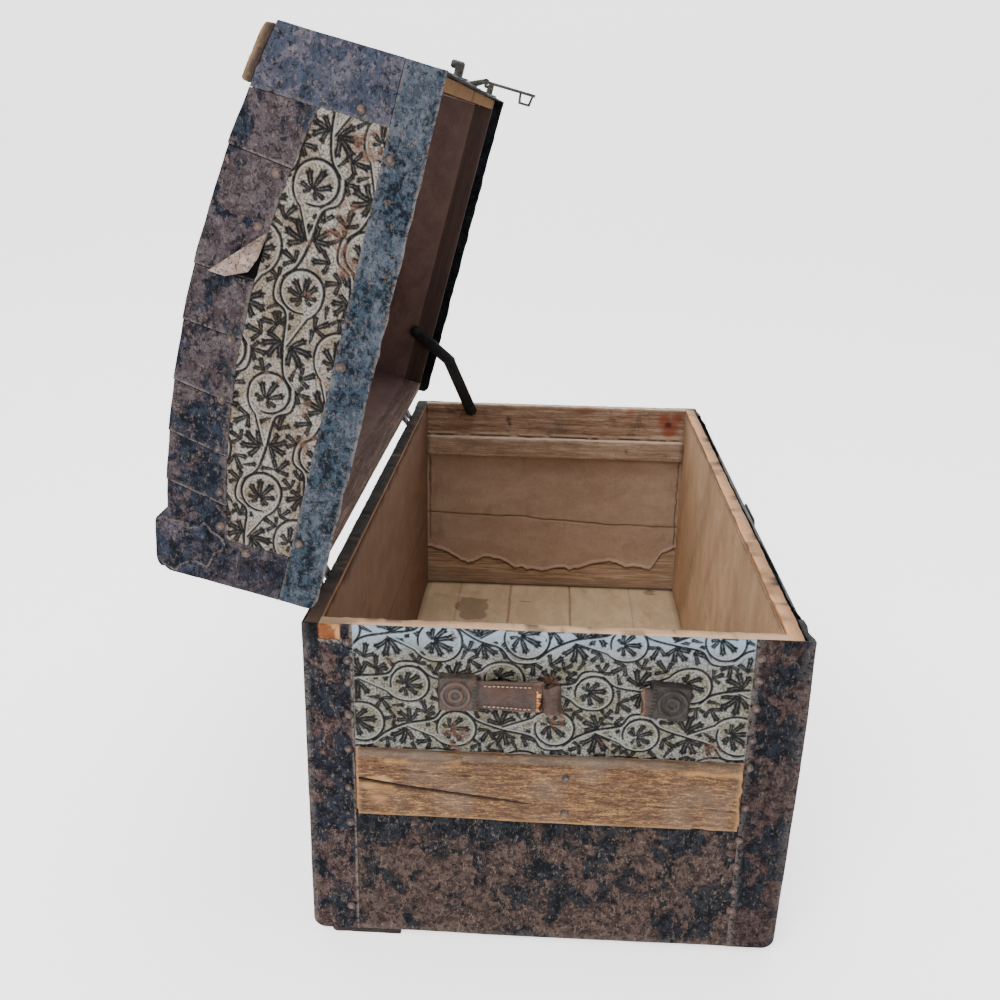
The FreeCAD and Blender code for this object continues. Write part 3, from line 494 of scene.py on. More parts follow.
class Paint:
    """A material made of nodes. A colour is three display values from 0 to 255."""

    def __init__(self, name, metallic=0.0, roughness=0.6, specular=0.5):
        self.mat = bpy.data.materials.new(name)
        self.mat.use_nodes = True
        self.tree = self.mat.node_tree
        self.tree.nodes.clear()
        out = self.tree.nodes.new("ShaderNodeOutputMaterial")
        self.shader = self.tree.nodes.new("ShaderNodeBsdfPrincipled")
        self.tree.links.new(self.shader.outputs[0], out.inputs[0])
        self.set("Metallic", metallic)
        self.set("Roughness", roughness)
        self.set("Specular IOR Level", specular)
        self.coord = self.node("TexCoord", {}, "Object")

    def put(self, socket, value):
        if isinstance(value, bpy.types.NodeSocket):
            self.tree.links.new(value, socket)
        else:
            socket.default_value = rgb(*value) if socket.type == "RGBA" else value

    def set(self, name, value):
        self.put(self.shader.inputs[name], value)

    def node(self, kind, inputs, output=0, **settings):
        """Output of a new node with these inputs, each a value or another node's output."""
        node = self.tree.nodes.new("ShaderNode" + kind)
        for key, value in settings.items():
            setattr(node, key, value)
        for key, value in inputs.items():
            self.put(node.inputs[key], value)
        return node.outputs[output]

    def scaled(self, x, y, z, turn=0.0):
        """Object coordinates stretched per axis, first turned about X."""
        vector = self.coord
        if turn:
            vector = self.node("Mapping", {"Vector": vector, "Rotation": (turn, 0, 0)})
        return self.node("Mapping", {"Vector": vector, "Scale": (x, y, z)})

    def noise(self, scale, detail=4.0, rough=0.6, warp=0.0, vector=None):
        return self.node("TexNoise", {"Vector": vector or self.coord, "Scale": scale, "Detail": detail,
                                      "Roughness": rough, "Distortion": warp}, "Fac")

    def cells(self, scale, feature="F1", vector=None):
        return self.node("TexVoronoi", {"Vector": vector or self.coord, "Scale": scale}, "Distance", feature=feature)

    def attr(self, name):
        """An attribute of the mesh, zero where a piece is made without it."""
        READS.setdefault(self.mat.name, []).append(name)
        return self.node("Attribute", {}, "Fac", attribute_name=name)

    def axis(self, index):
        return self.node("SeparateXYZ", {0: self.coord}, index)

    def step(self, value, low, high, a=0.0, b=1.0):
        """Smooth step of value from low to high, as a number from a to b."""
        inputs = {"Value": value, "From Min": low, "From Max": high, "To Min": a, "To Max": b}
        return self.node("MapRange", inputs, interpolation_type="SMOOTHSTEP")

    def ramp(self, value, stops):
        out = self.node("ValToRGB", {0: value})
        elements = out.node.color_ramp.elements
        while len(elements) < len(stops):
            elements.new(0.5)
        for element, (at, colour) in zip(elements, stops):
            element.position = at
            element.color = rgb(*colour)
        return out

    def mix(self, fac, a, b):
        return self.node("Mix", {0: fac, 6: a, 7: b}, 2, data_type="RGBA")

    def math(self, operation, a, b):
        return self.node("Math", {0: a, 1: b}, operation=operation)

    def times(self, a, b):
        return self.math("MULTIPLY", a, b)

    def plus(self, a, b):
        return self.math("ADD", a, b)

    def bump(self, height, distance, strength):
        self.set("Normal", self.node("Bump", {"Height": height, "Distance": distance, "Strength": strength}))


def embossed_tin(name, light, tint, dark, stain, sheen_z=None):
    """Printed tin: pale ground, dark ink, stains, rust spots and a fine pebble; raised relief painted lighter as a
    highlight, and with sheen_z a painted bluish sky reflection along the top.
    """
    p = Paint(name, metallic=0.05, roughness=0.45, specular=0.07)
    ground = p.mix(p.step(p.noise(34, 9, 0.72, 0.3), 0.42, 0.60), light, tint)
    pebble = p.cells(560)
    ground = p.mix(p.step(pebble, 0.40, 0.80, 0, 0.8), ground, dark)
    grit = p.noise(700, 4, 0.8)
    ground = p.mix(p.step(grit, 0.52, 0.58, 0, 0.6), ground, dark)
    grime = p.noise(60, 10, 0.76, 0.5)
    ground = p.mix(p.step(grime, 0.53, 0.60, 0, 0.6), ground, stain)
    # painted highlight: the raised relief is lighter
    ground = p.mix(p.times(p.step(p.attr("high"), 0.25, 1.0), 0.7), ground, light)
    if sheen_z is not None:
        # painted reflection: a bluish sky sheen over the top of the tin, rising to sheen_z
        painted_blue_sheen = p.times(p.step(p.axis(2), sheen_z - 0.036, sheen_z), 0.62)
        ground = p.mix(painted_blue_sheen, ground, (140, 160, 178))
    worn = p.step(p.noise(260, 6, 0.78), 0.40, 0.50, 0.88, 1.0)
    ink = p.times(p.attr("ink"), worn)
    colour = p.mix(ink, ground, p.mix(p.step(grit, 0.45, 0.6), (6, 6, 9), (26, 25, 27)))
    ragged = p.plus(p.noise(48, 12, 0.78, 0.4), p.times(p.attr("rust"), 0.14))
    rust = p.step(ragged, 0.61, 0.64)
    rusty = p.mix(p.step(p.noise(330, 6, 0.78), 0.42, 0.58), (58, 42, 38), (116, 84, 68))
    colour = p.mix(p.times(rust, 0.65), colour, rusty)
    p.set("Base Color", colour)
    p.set("Roughness", p.step(p.math("MAXIMUM", rust, grime), 0.3, 1.0, 0.36, 0.75))
    height = p.math("SUBTRACT", p.times(grit, 0.4), p.times(pebble, 0.8))
    p.bump(height, 0.0008, 0.6)
    return p.mat


def sheet_iron(name, black, slate, rust_a, rust_b, level, fleck=0.3, gloss=0.45, painted_sky_sheen=0.0):
    """Old black sheet iron with ragged flakes of rust, mottled paint, pits and pale flecks; where asked, a painted sky
    reflection makes it paler towards the top.
    """
    p = Paint(name, metallic=0.03, roughness=gloss, specular=0.04)
    patch = p.noise(28, 14, 0.71, 0.35)
    medium = p.noise(170, 10, 0.8, 0.2)
    amount = p.plus(p.times(patch, 0.81), p.times(medium, 0.19))
    amount = p.plus(amount, p.times(p.attr("rust"), 0.07))
    rust = p.step(amount, level - 0.02, level + 0.02)
    colour = p.mix(p.step(p.noise(95, 12, 0.80), 0.47, 0.535), black, slate)
    rusty = p.mix(p.step(p.noise(105, 10, 0.8), 0.46, 0.54), rust_a, rust_b)
    colour = p.mix(p.times(rust, 0.95), colour, rusty)
    # painted reflection: paler slate towards the top, where the sky reflects
    if painted_sky_sheen:
        colour = p.mix(p.step(p.axis(2), 0.45, 0.82, 0, painted_sky_sheen), colour, (92, 100, 118))
    crazed = p.step(p.noise(260, 9, 0.8, 0.5), 0.53, 0.57, 0, 0.75)
    colour = p.mix(crazed, colour, (10, 11, 14))
    pale = p.step(p.noise(320, 7, 0.78, 0, p.scaled(1, 1, 0.6)), 0.56, 0.60, 0, fleck)
    colour = p.mix(pale, colour, (128, 112, 102))
    scratch = p.step(p.noise(1, 3, 0.6, 1.5, p.scaled(30, 380, 60)), 0.66, 0.70, 0, 0.35)
    colour = p.mix(scratch, colour, (112, 108, 108))
    rubbed = p.times(p.attr("edge"), p.step(p.noise(220, 8, 0.8), 0.44, 0.52))
    colour = p.mix(rubbed, colour, (116, 107, 103))
    raw = p.noise(1, 5, 0.6, 0.3, p.scaled(300, 60, 60))
    colour = p.mix(p.attr("bare"), colour, p.mix(p.step(raw, 0.4, 0.6), (130, 78, 44), (196, 144, 100)))
    colour = p.mix(p.attr("dark"), colour, (6, 6, 8))
    p.set("Base Color", colour)
    p.set("Roughness", p.step(p.plus(rust, pale), 0.0, 1.0, gloss, 0.85))
    height = p.plus(p.times(rust, 0.35), p.noise(260, 9, 0.8))
    p.bump(height, 0.0016, 0.8)
    return p.mat


def wood(name, low, mid, high, along=0, turn=0.0, darkening=0.4, grain=1.0, run=1.0, shine=0.25):
    """Bare wood with streaks along one axis; turn brings a lid piece's axes into line, grain and run scale them."""
    p = Paint(name, roughness=0.75, specular=shine)
    scale = [190.0 * grain] * 3
    scale[along] = 9.0 * run
    fibre = [900.0] * 3
    fibre[along] = 40.0 * run
    streak = p.noise(1, 8, 0.7, 0.6, p.scaled(*scale, turn))
    thin = p.noise(1, 6, 0.78, 0.2, p.scaled(*fibre, turn))
    mixed = p.plus(p.times(streak, 0.55), p.times(thin, 0.45))
    colour = p.ramp(mixed, [(0.40, low), (0.50, mid), (0.62, high)])
    pore = p.step(p.noise(1, 4, 0.75, 0, p.scaled(*[s * 1.6 for s in fibre], turn)), 0.58, 0.66, 0, 0.6)
    colour = p.mix(pore, colour, low)
    saw = p.step(p.noise(520, 5, 0.8), 0.50, 0.60, 0, 0.4)
    colour = p.mix(saw, colour, low)
    stain = p.times(p.step(p.noise(26, 9, 0.74, 0.5), 0.50, 0.60), darkening)
    colour = p.mix(stain, colour, (70, 54, 44))
    colour = p.mix(p.times(p.attr("edge"), 0.85), colour, high)
    colour = p.mix(p.attr("grey"), colour, (122, 110, 98))
    colour = p.mix(p.attr("red"), colour, (140, 66, 44))
    colour = p.mix(p.attr("dark"), colour, (26, 20, 18))
    p.set("Base Color", colour)
    p.bump(p.plus(thin, p.times(streak, 0.8)), 0.0011, 0.7)
    return p.mat


def paper(name, base, light, stain, along=2, turn=0.0):
    """Old lining paper: soft streaks, stains, scuffs; bare wood where it is torn away."""
    p = Paint(name, roughness=0.85, specular=0.2)
    scale = [34.0] * 3
    scale[along] = 15.0
    streak = p.noise(1, 7, 0.66, 0.2, p.scaled(*scale, turn))
    colour = p.mix(p.step(streak, 0.36, 0.66, 0, 0.8), base, light)
    colour = p.mix(p.step(p.noise(17, 10, 0.74, 0.6), 0.52, 0.64, 0, 0.35), colour, stain)
    colour = p.mix(p.step(p.noise(280, 6, 0.8), 0.54, 0.62, 0, 0.45), colour, stain)
    dash = [320.0] * 3
    dash[along] = 60.0
    colour = p.mix(p.step(p.noise(1, 4, 0.75, 0.3, p.scaled(*dash, turn)), 0.62, 0.68, 0, 0.6), colour, light)
    board = p.step(p.noise(1, 8, 0.75, 0.5, p.scaled(60, 14, 330, turn)), 0.42, 0.6)
    board = p.mix(board, (146, 122, 98), (198, 170, 142))
    colour = p.mix(p.attr("bare"), colour, board)
    colour = p.mix(p.attr("edge"), colour, light)
    colour = p.mix(p.attr("dark"), colour, (46, 34, 28))
    p.set("Base Color", colour)
    p.bump(p.plus(p.noise(150, 8, 0.75), p.times(streak, 0.7)), 0.0014, 0.5)
    return p.mat


def hide(name, base, light, worn):
    """Cracked old leather."""
    p = Paint(name, roughness=0.55, specular=0.4)
    pores = p.cells(700, "DISTANCE_TO_EDGE")
    colour = p.mix(p.step(p.noise(60, 6, 0.7, 0.4), 0.38, 0.66), base, light)
    colour = p.mix(p.step(p.noise(330, 4, 0.7), 0.58, 0.72, 0, 0.6), colour, worn)
    colour = p.mix(p.attr("edge"), colour, worn)
    colour = p.mix(p.attr("dark"), colour, (26, 16, 13))
    p.set("Base Color", colour)
    p.set("Roughness", p.step(p.noise(90, 5), 0.3, 0.7, 0.45, 0.75))
    crack = p.step(p.cells(170, "DISTANCE_TO_EDGE", p.scaled(1, 0.55, 1)), 0.0, 0.10)
    p.bump(p.plus(p.times(crack, 0.8), pores), 0.0006, 0.6)
    return p.mat


def forged(name, base, rusty, light, level=0.52, metallic=0.35, gloss=0.5):
    """Small iron hardware: dark base, rust, and lighter high places: a painted highlight on the caps and nail heads,
    lighter patches of wear on the eased hardware.
    """
    p = Paint(name, metallic=metallic, roughness=gloss)
    rust = p.step(p.noise(140, 7, 0.72, 0.4), level, level + 0.10)
    colour = p.mix(p.step(p.noise(420, 4, 0.7), 0.35, 0.65), base, (30, 28, 29))
    colour = p.mix(p.times(rust, 0.85), colour, p.mix(p.noise(500, 4), rusty, light))
    # painted highlight on caps and nail heads, wear on the eased hardware: lighter where high is set
    colour = p.mix(p.times(p.step(p.attr("high"), 0.3, 1.0), 0.6), colour, light)
    colour = p.mix(p.attr("dark"), colour, (20, 18, 18))
    p.set("Base Color", colour)
    p.set("Roughness", p.step(rust, 0, 1, gloss, 0.85))
    p.bump(p.noise(600, 5, 0.7), 0.0005, 0.5)
    return p.mat


def enamel(name, colour, other, gloss):
    """Black paint with faint dust and scuffs."""
    p = Paint(name, metallic=0.1, roughness=gloss)
    dust = p.step(p.noise(160, 6, 0.7), 0.50, 0.75, 0, 0.5)
    p.set("Base Color", p.mix(dust, colour, other))
    p.set("Roughness", p.step(p.noise(220, 5, 0.7), 0.3, 0.7, gloss, gloss + 0.25))
    p.bump(p.noise(700, 4), 0.0002, 0.4)
    return p.mat


def thread(name):
    p = Paint(name, roughness=0.8)
    p.set("Base Color", p.mix(p.noise(900, 3), (140, 108, 92), (178, 150, 130)))
    p.bump(p.noise(1, 3, 0.5, 0, p.scaled(900, 2600, 900)), 0.0003, 0.6)
    return p.mat

TIN_BODY = embossed_tin("tin_body", (132, 133, 128), (112, 109, 94), (57, 53, 46), (86, 76, 58), 0.336)
TIN_LID = embossed_tin("tin_lid", (141, 137, 130), (120, 107, 92), (60, 54, 45), (85, 72, 60))
IRON_BODY = sheet_iron("iron_body", (11, 13, 19), (34, 38, 47), (55, 42, 41), (83, 68, 65), 0.515, 0.45)
IRON_SHEET = sheet_iron("iron_sheet", (11, 14, 19), (35, 37, 42), (53, 43, 41), (80, 66, 60), 0.492, 0.45, 0.5)
IRON_RIM = sheet_iron("iron_rim", (16, 23, 32), (50, 63, 74), (52, 59, 69), (74, 81, 90), 0.505, 0.35, 0.4)
IRON_ARC = sheet_iron("iron_arc", (14, 19, 27), (38, 43, 54), (59, 50, 52), (78, 70, 73), 0.495, 0.38, 0.48)
IRON_CORNER = sheet_iron("iron_corner", (14, 18, 25), (44, 49, 63), (56, 51, 58), (83, 77, 84), 0.502, 0.4, 0.42, 0.22)
IRON_UNDER = sheet_iron("iron_under", (126, 108, 100), (156, 138, 128), (112, 88, 78), (146, 122, 108), 0.56, 0.2, 0.7)
WOOD_SLAT = wood("wood_slat", (56, 36, 23), (90, 63, 42), (166, 126, 82), 1, 0, 0.3, 2.0, run=7.0)
WOOD_DOME = wood("wood_dome", (41, 30, 22), (80, 59, 45), (131, 105, 81), 0, 0, 0.5)
WOOD_RIM = wood("wood_rim", (145, 100, 64), (187, 142, 106), (212, 175, 138), 1, 0, 0.25)
WOOD_LONG = wood("wood_long", (140, 90, 53), (183, 130, 88), (213, 163, 117), 0, 0, 0.2)
WOOD_TOP = wood("wood_top", (111, 81, 63), (160, 129, 106), (209, 185, 159), 1, 0, 0.4)
WOOD_CLEAT = wood("wood_cleat", (133, 107, 87), (170, 143, 120), (208, 185, 162), 1, 0, 0.25)
WOOD_LID = wood("wood_lid", (60, 44, 40), (95, 73, 65), (144, 113, 98), 0, 0, 0.5)
WOOD_LID_RIM = wood("wood_lid_rim", (34, 24, 18), (78, 57, 42), (112, 88, 66), 1, OPEN, 0.3, shine=0.0)
WOOD_LID_END = wood("wood_lid_end", (56, 42, 39), (66, 50, 46), (80, 62, 56), 1, OPEN, 0.3)
WOOD_DARK = wood("wood_dark", (16, 13, 12), (34, 28, 25), (60, 48, 40), 0, 0, 0.5)
# The back wall's darker paper and the front wall's paler paper are copies of one lining paper, partly painted shade and
# painted light.
PAPER = paper("paper", (174, 148, 128), (189, 165, 145), (148, 120, 101), 1)
PAPER_PALE = paper("paper_pale", (198, 163, 128), (218, 185, 149), (171, 136, 102), 2)
PAPER_DARK = paper("paper_dark", (110, 84, 67), (121, 95, 75), (93, 69, 53), 0)
PAPER_FLOOR = paper("paper_floor", (183, 157, 126), (203, 178, 147), (148, 123, 96), 0)
PAPER_LID = paper("paper_lid", (97, 77, 74), (113, 90, 83), (72, 54, 52), 0, OPEN)
LEATHER = hide("leather", (41, 21, 13), (63, 38, 26), (89, 64, 47))
LEATHER_RAW = hide("leather_raw", (160, 96, 52), (204, 156, 100), (222, 190, 138))
THREAD = thread("thread")
CAP_IRON = forged("cap_iron", (52, 40, 34), (71, 50, 38), (101, 80, 66), 0.47)
NAIL_IRON = forged("nail_iron", (50, 40, 38), (80, 58, 50), (126, 105, 96), 0.45)
HARDWARE = forged("hardware", (50, 48, 46), (70, 50, 42), (124, 118, 104), 0.52, 0.55, 0.42)
HASP_IRON = forged("hasp_iron", (62, 60, 54), (80, 64, 52), (150, 146, 130), 0.56, 0.6, 0.38)
STAY_BLACK = enamel("stay_black", (12, 13, 14), (44, 44, 46), 0.32)

SCROLL = Ornament(11)


# ------------------------------------------------------------------ embossed tins
def spots(y, z, size, seed, share):
    """Ragged patches that cover about that share."""
    return smooth(share, share + 0.25, noise(xyz(y, z, seed * 37.0), size, seed, 3))


def tin_plate(name, points, normals, u, v, fade, rust, relief, blur, material, node, dents=0.35, black=0.0):
    """Embossed tin with the ornament of (u, v), which fades out at the tin's edges, and shallow dents; black adds ink
    over it, as painted shadow along the tops of the long tins.
    """
    high, ink = SCROLL.sample(u, v, blur)
    high = high * fade
    ink = np.clip(ink * np.clip(fade, 0.3, 1) + black, 0, 1)
    height = relief * high + dents * noise(points, 46, 3, 2) * fade
    height += 0.05 * noise(points, 3.0, 5, 2)
    vertices, faces, ring = plate(points, normals, height, 0.7)
    attrs = {"ink": on_plate(ink, ring), "high": on_plate(high, ring), "rust": on_plate(rust, ring)}
    body = "lid" if material == TIN_LID else "chest"
    piece(name, vertices, faces, material, body, [node], attrs, angle=50)


def upright(axis, sign, at, low, high, spacing, origin=(0.0, 0.0)):
    """An upright sheet that faces along x (axis 0) or y (1): its two coordinates, points and normals."""
    a, z = (np.arange(low[k], high[k], spacing) for k in (0, 1))
    a, z = np.meshgrid(a, z)
    oy, oz = origin
    points = xyz(a, oy + at, oz + z) if axis else xyz(at, oy + a, oz + z)
    return a, z, points, facing(points, axis, sign)


def end_tin(side):
    shown = side < 0
    y, z, points, normals = upright(0, side, side * TIN_X, (-180.0, 210.4), (180.01, 335.6), 0.72 if shown else 1.05)
    fade = smooth(0.0, 2.5, np.minimum(180 - np.abs(y), 336.6 - z) + 0.4)
    patches = near(y, z, [(86, 223, 16), (128, 218, 9), (96, 262, 8), (0, 252, 14), (2, 286, 10), (-150, 219, 12)])
    rust = np.clip(patches + 0.4 * spots(y, z, 30, 9, 0.42), 0, 1)
    tin_plate("end_tin_" + ENDS[side], points, normals, y + 400 * (not shown), z - 214, fade, rust, 0.62,
              0 if shown else 1, TIN_BODY, "end_tins")


def rim_bulge(x, z):
    """How far the cladding has come away from the front wall under the rim."""
    ends = 0.35 + 0.65 * np.maximum(smooth(-170, -240, x), smooth(150, 210, x))
    p = xyz(x, z * 0.5, 0)
    out = 5.2 + 3.0 * noise(p, 60, 131, 2) + 1.3 * noise(p, 17, 132, 2) + 1.5 * smooth(-360, -425, x)
    return smooth(280, 330, z) * ends * np.clip(out, 0.5, 9.3)


def long_tin(side):
    x, z, points, normals = upright(1, side, side * TIN_Y, (-382.0, 210.4), (382.1, 335.6), 1.5)
    # painted shadow: ink along the tops of the long tins, in the shade under the rim
    black = 0.8 * smooth(326, 333, z)
    if side < 0:
        points[..., 1] -= rim_bulge(x, z)
        black = smooth(322, 331, z)
    fade = smooth(0.0, 2.5, np.minimum(382 - np.abs(x), 336.6 - z) + 0.4)
    tin_plate("long_tin_" + SIDES[side], points, normals, x * side + 33, z - 214, fade, spots(x, z, 60, 4 + side, 0.32),
              0.6, 2, TIN_BODY, "long_tins", black=black)


def arch(y):
    """Height of the arc band's inner edge over the lid's rim, at y measured from the lid's back."""
    top, rise = 99.0, 23.0
    half = (CORNER_BACK - CORNER_FRONT) / 2
    r = (half * half + rise * rise) / (2 * rise)
    return top - r + np.sqrt(np.maximum(r * r - (y - CORNER_BACK + half) ** 2, 0))


def lid_end_tin(side):
    shown = side < 0
    y, z, points, normals = upright(0, side, side * LID_TIN_X, (-415.0, 16.0), (-39.9, 102.0), 0.72 if shown else 1.1,
                                    (LID_Y, LID_Z))
    inside = np.minimum(np.minimum(arch(y) - z, z - 19.0), np.minimum(y - CORNER_FRONT, CORNER_BACK - y))
    patches = near(y, z, [(-395, 30, 16), (-300, 25, 12), (-150, 28, 14)])
    rust = np.clip(0.7 * spots(y, z, 36, 12, 0.35) + patches, 0, 1)
    tin_plate("lid_end_tin_" + ENDS[side], points, normals, y + 55 + 300 * (not shown), z + 6,
              smooth(-2.0, 1.0, inside), rust, 1.0, 0 if shown else 1, TIN_LID, "lid_end_tins", 0.15)


DOME_MID, DOME_TOP, DOME_RISE = 232.0, 148.0, 28.5
DOME_R = (DOME_MID ** 2 + DOME_RISE ** 2) / (2 * DOME_RISE)


def dome(y, off=0.0):
    """Height and normal (y, z) of the lid's dome at y from its back, off millimetres under its surface."""
    r = DOME_R - off
    z = DOME_TOP - DOME_R + np.sqrt(r * r - (y + DOME_MID) ** 2)
    return z, (y + DOME_MID) / r, np.sqrt(1 - ((y + DOME_MID) / r) ** 2)


def dome_tin():
    x, y = np.meshgrid(np.arange(-392.0, 392.1, 1.75), np.arange(-417.0, -45.9, 1.75))
    z, ny, nz = dome(y, 1.2)
    tin_plate("dome_tin", xyz(x, LID_Y + y, LID_Z + z), xyz(0, ny, nz), x, y + 20, smooth(0.0, 3.0, 391.5 - np.abs(x)),
              spots(x, y, 70, 15, 0.3), 1.1, 2, TIN_LID, "lid_dome_tin", 0.8)


def lid_side_tin(side):
    at = -LID_DEEP + 1.2 if side < 0 else -1.2
    x, z, points, normals = upright(1, side, at, (-392.0, 17.0), (392.1, 120.1), 1.6, (LID_Y, LID_Z))
    fade = smooth(-1.0, 2.0, np.minimum(391.5 - np.abs(x), z - 20.0))
    tin_plate("lid_%s_tin" % SIDES[side], points, normals, x * side, z, fade, spots(x, z, 60, 18, 0.3), 0.9, 2, TIN_LID,
              "lid_side_tins", 0.3)


# ------------------------------------------------------------------ sheet iron
def iron(name, step, material, body="chest", bevel=0.35, dent=0.35, size=34.0, seed=1, change=None, planes=()):
    """Sheet iron with shallow dents, in the shape of its CAD node."""
    def relief(p):
        return dent * noise(p, size, seed, 3) + 0.12 * noise(p, 9, seed + 1, 2)
    points, faces, attrs = shaped(name, step, material, bevel, body == "lid", planes, relief, change)
    piece(name, points, faces, material, body, [name], attrs, angle=40)


def chest_bands():
    """Corner bands; the one at the left back is torn open near its top and shows the bare wood."""
    def change(left, back):
        def apply(p, push, attrs):
            y = p[:, 1] if back else -p[:, 1]
            x = -p[:, 0] if left else p[:, 0]
            z = p[:, 2]
            ragged = 0.5 * noise(p, 7, 21, 3)
            corner = 0.6 * smooth(5, 0, np.hypot(y - 225, x - END_X))
            attrs["edge"] = 0.8 * np.maximum(smooth(3.0, 0.5, np.abs(y - 180 - ragged)), corner)
            attrs["rust"] = smooth(0.0, 0.8, noise(p, 60, 22, 2)) + 0.9 * smooth(60, 6, z) - 0.3
            if left and back:
                top = 320.5 + 2.0 * noise(p, 6, 23, 3)
                across = y + 0.8 * noise(p, 5, 24, 2)
                torn = smooth(-0.5, 0.4, z - top) * smooth(211.0, 209.8, across) * smooth(189.6, 190.8, across)
                torn = torn * smooth(426.0, 429.0, x)
                push = push - 1.5 * torn
                attrs["bare"] = torn
                lip = smooth(3.0, 0.5, np.abs(z - top + 1.2)) * smooth(212, 210, y) * smooth(188, 190, y) * (x > 428.5)
                attrs["edge"] = np.maximum(attrs["edge"], lip * (1 - torn))
                attrs["dark"] = 0.6 * smooth(208, 214, y) * smooth(312, 322, z)
                push = push + 0.6 * lip * (1 - torn)
            if not back:
                attrs["dark"] += 0.3
                swell = smooth(-395, -428, p[:, 0]) * np.interp(z, [15, 100, 200, 265, 300], [0, 2.6, 5.8, 7.0, 6.8])
                p[:, 1] -= np.maximum(rim_bulge(p[:, 0], z), swell) * smooth(222, 224.5, y)
            buckle = smooth(300, 336, z) * noise(p, 26, 25, 2) * 0.5
            return push + buckle
        return apply

    for left in (True, False):
        for back in (True, False):
            name = "corner_band_%s_%s" % ("back" if back else "front", "left" if left else "right")
            planes = []
            if left and back:
                for k in range(34):
                    planes.append(((0, 0, 309 + 0.8 * k), (0, 0, 1)))
                    planes.append(((0, 180.5 + 1.05 * k, 0), (0, 1, 0)))
            iron(name, (7, 7, 7), IRON_BODY, change=change(left, back), planes=planes, seed=5 + 2 * left + back)


def lower_sheets():
    def change(p, push, attrs):
        z = p[:, 2]
        patches = 0.8 * smooth(-0.2, 0.7, noise(p, 75, 31, 2))
        attrs["rust"] = patches + 0.5 * smooth(60, 10, z) - 0.15 - 0.9 * smooth(100, 138, z)
        attrs["edge"] = 0.5 * smooth(4, 0, np.abs(z - 8))
        return push + 0.5 * noise(p, 120, 32, 1)
    iron("lower_sheets", (9, 9, 9), IRON_SHEET, change=change, dent=0.4, size=50, seed=9)

ARC_SEAMS = ((-365.5, -4.5), (-269.5, -0.6), (-221.0, -3.0), (-167.5, -6.0), (-122.5, -8.0), (-80.0, -8.0))


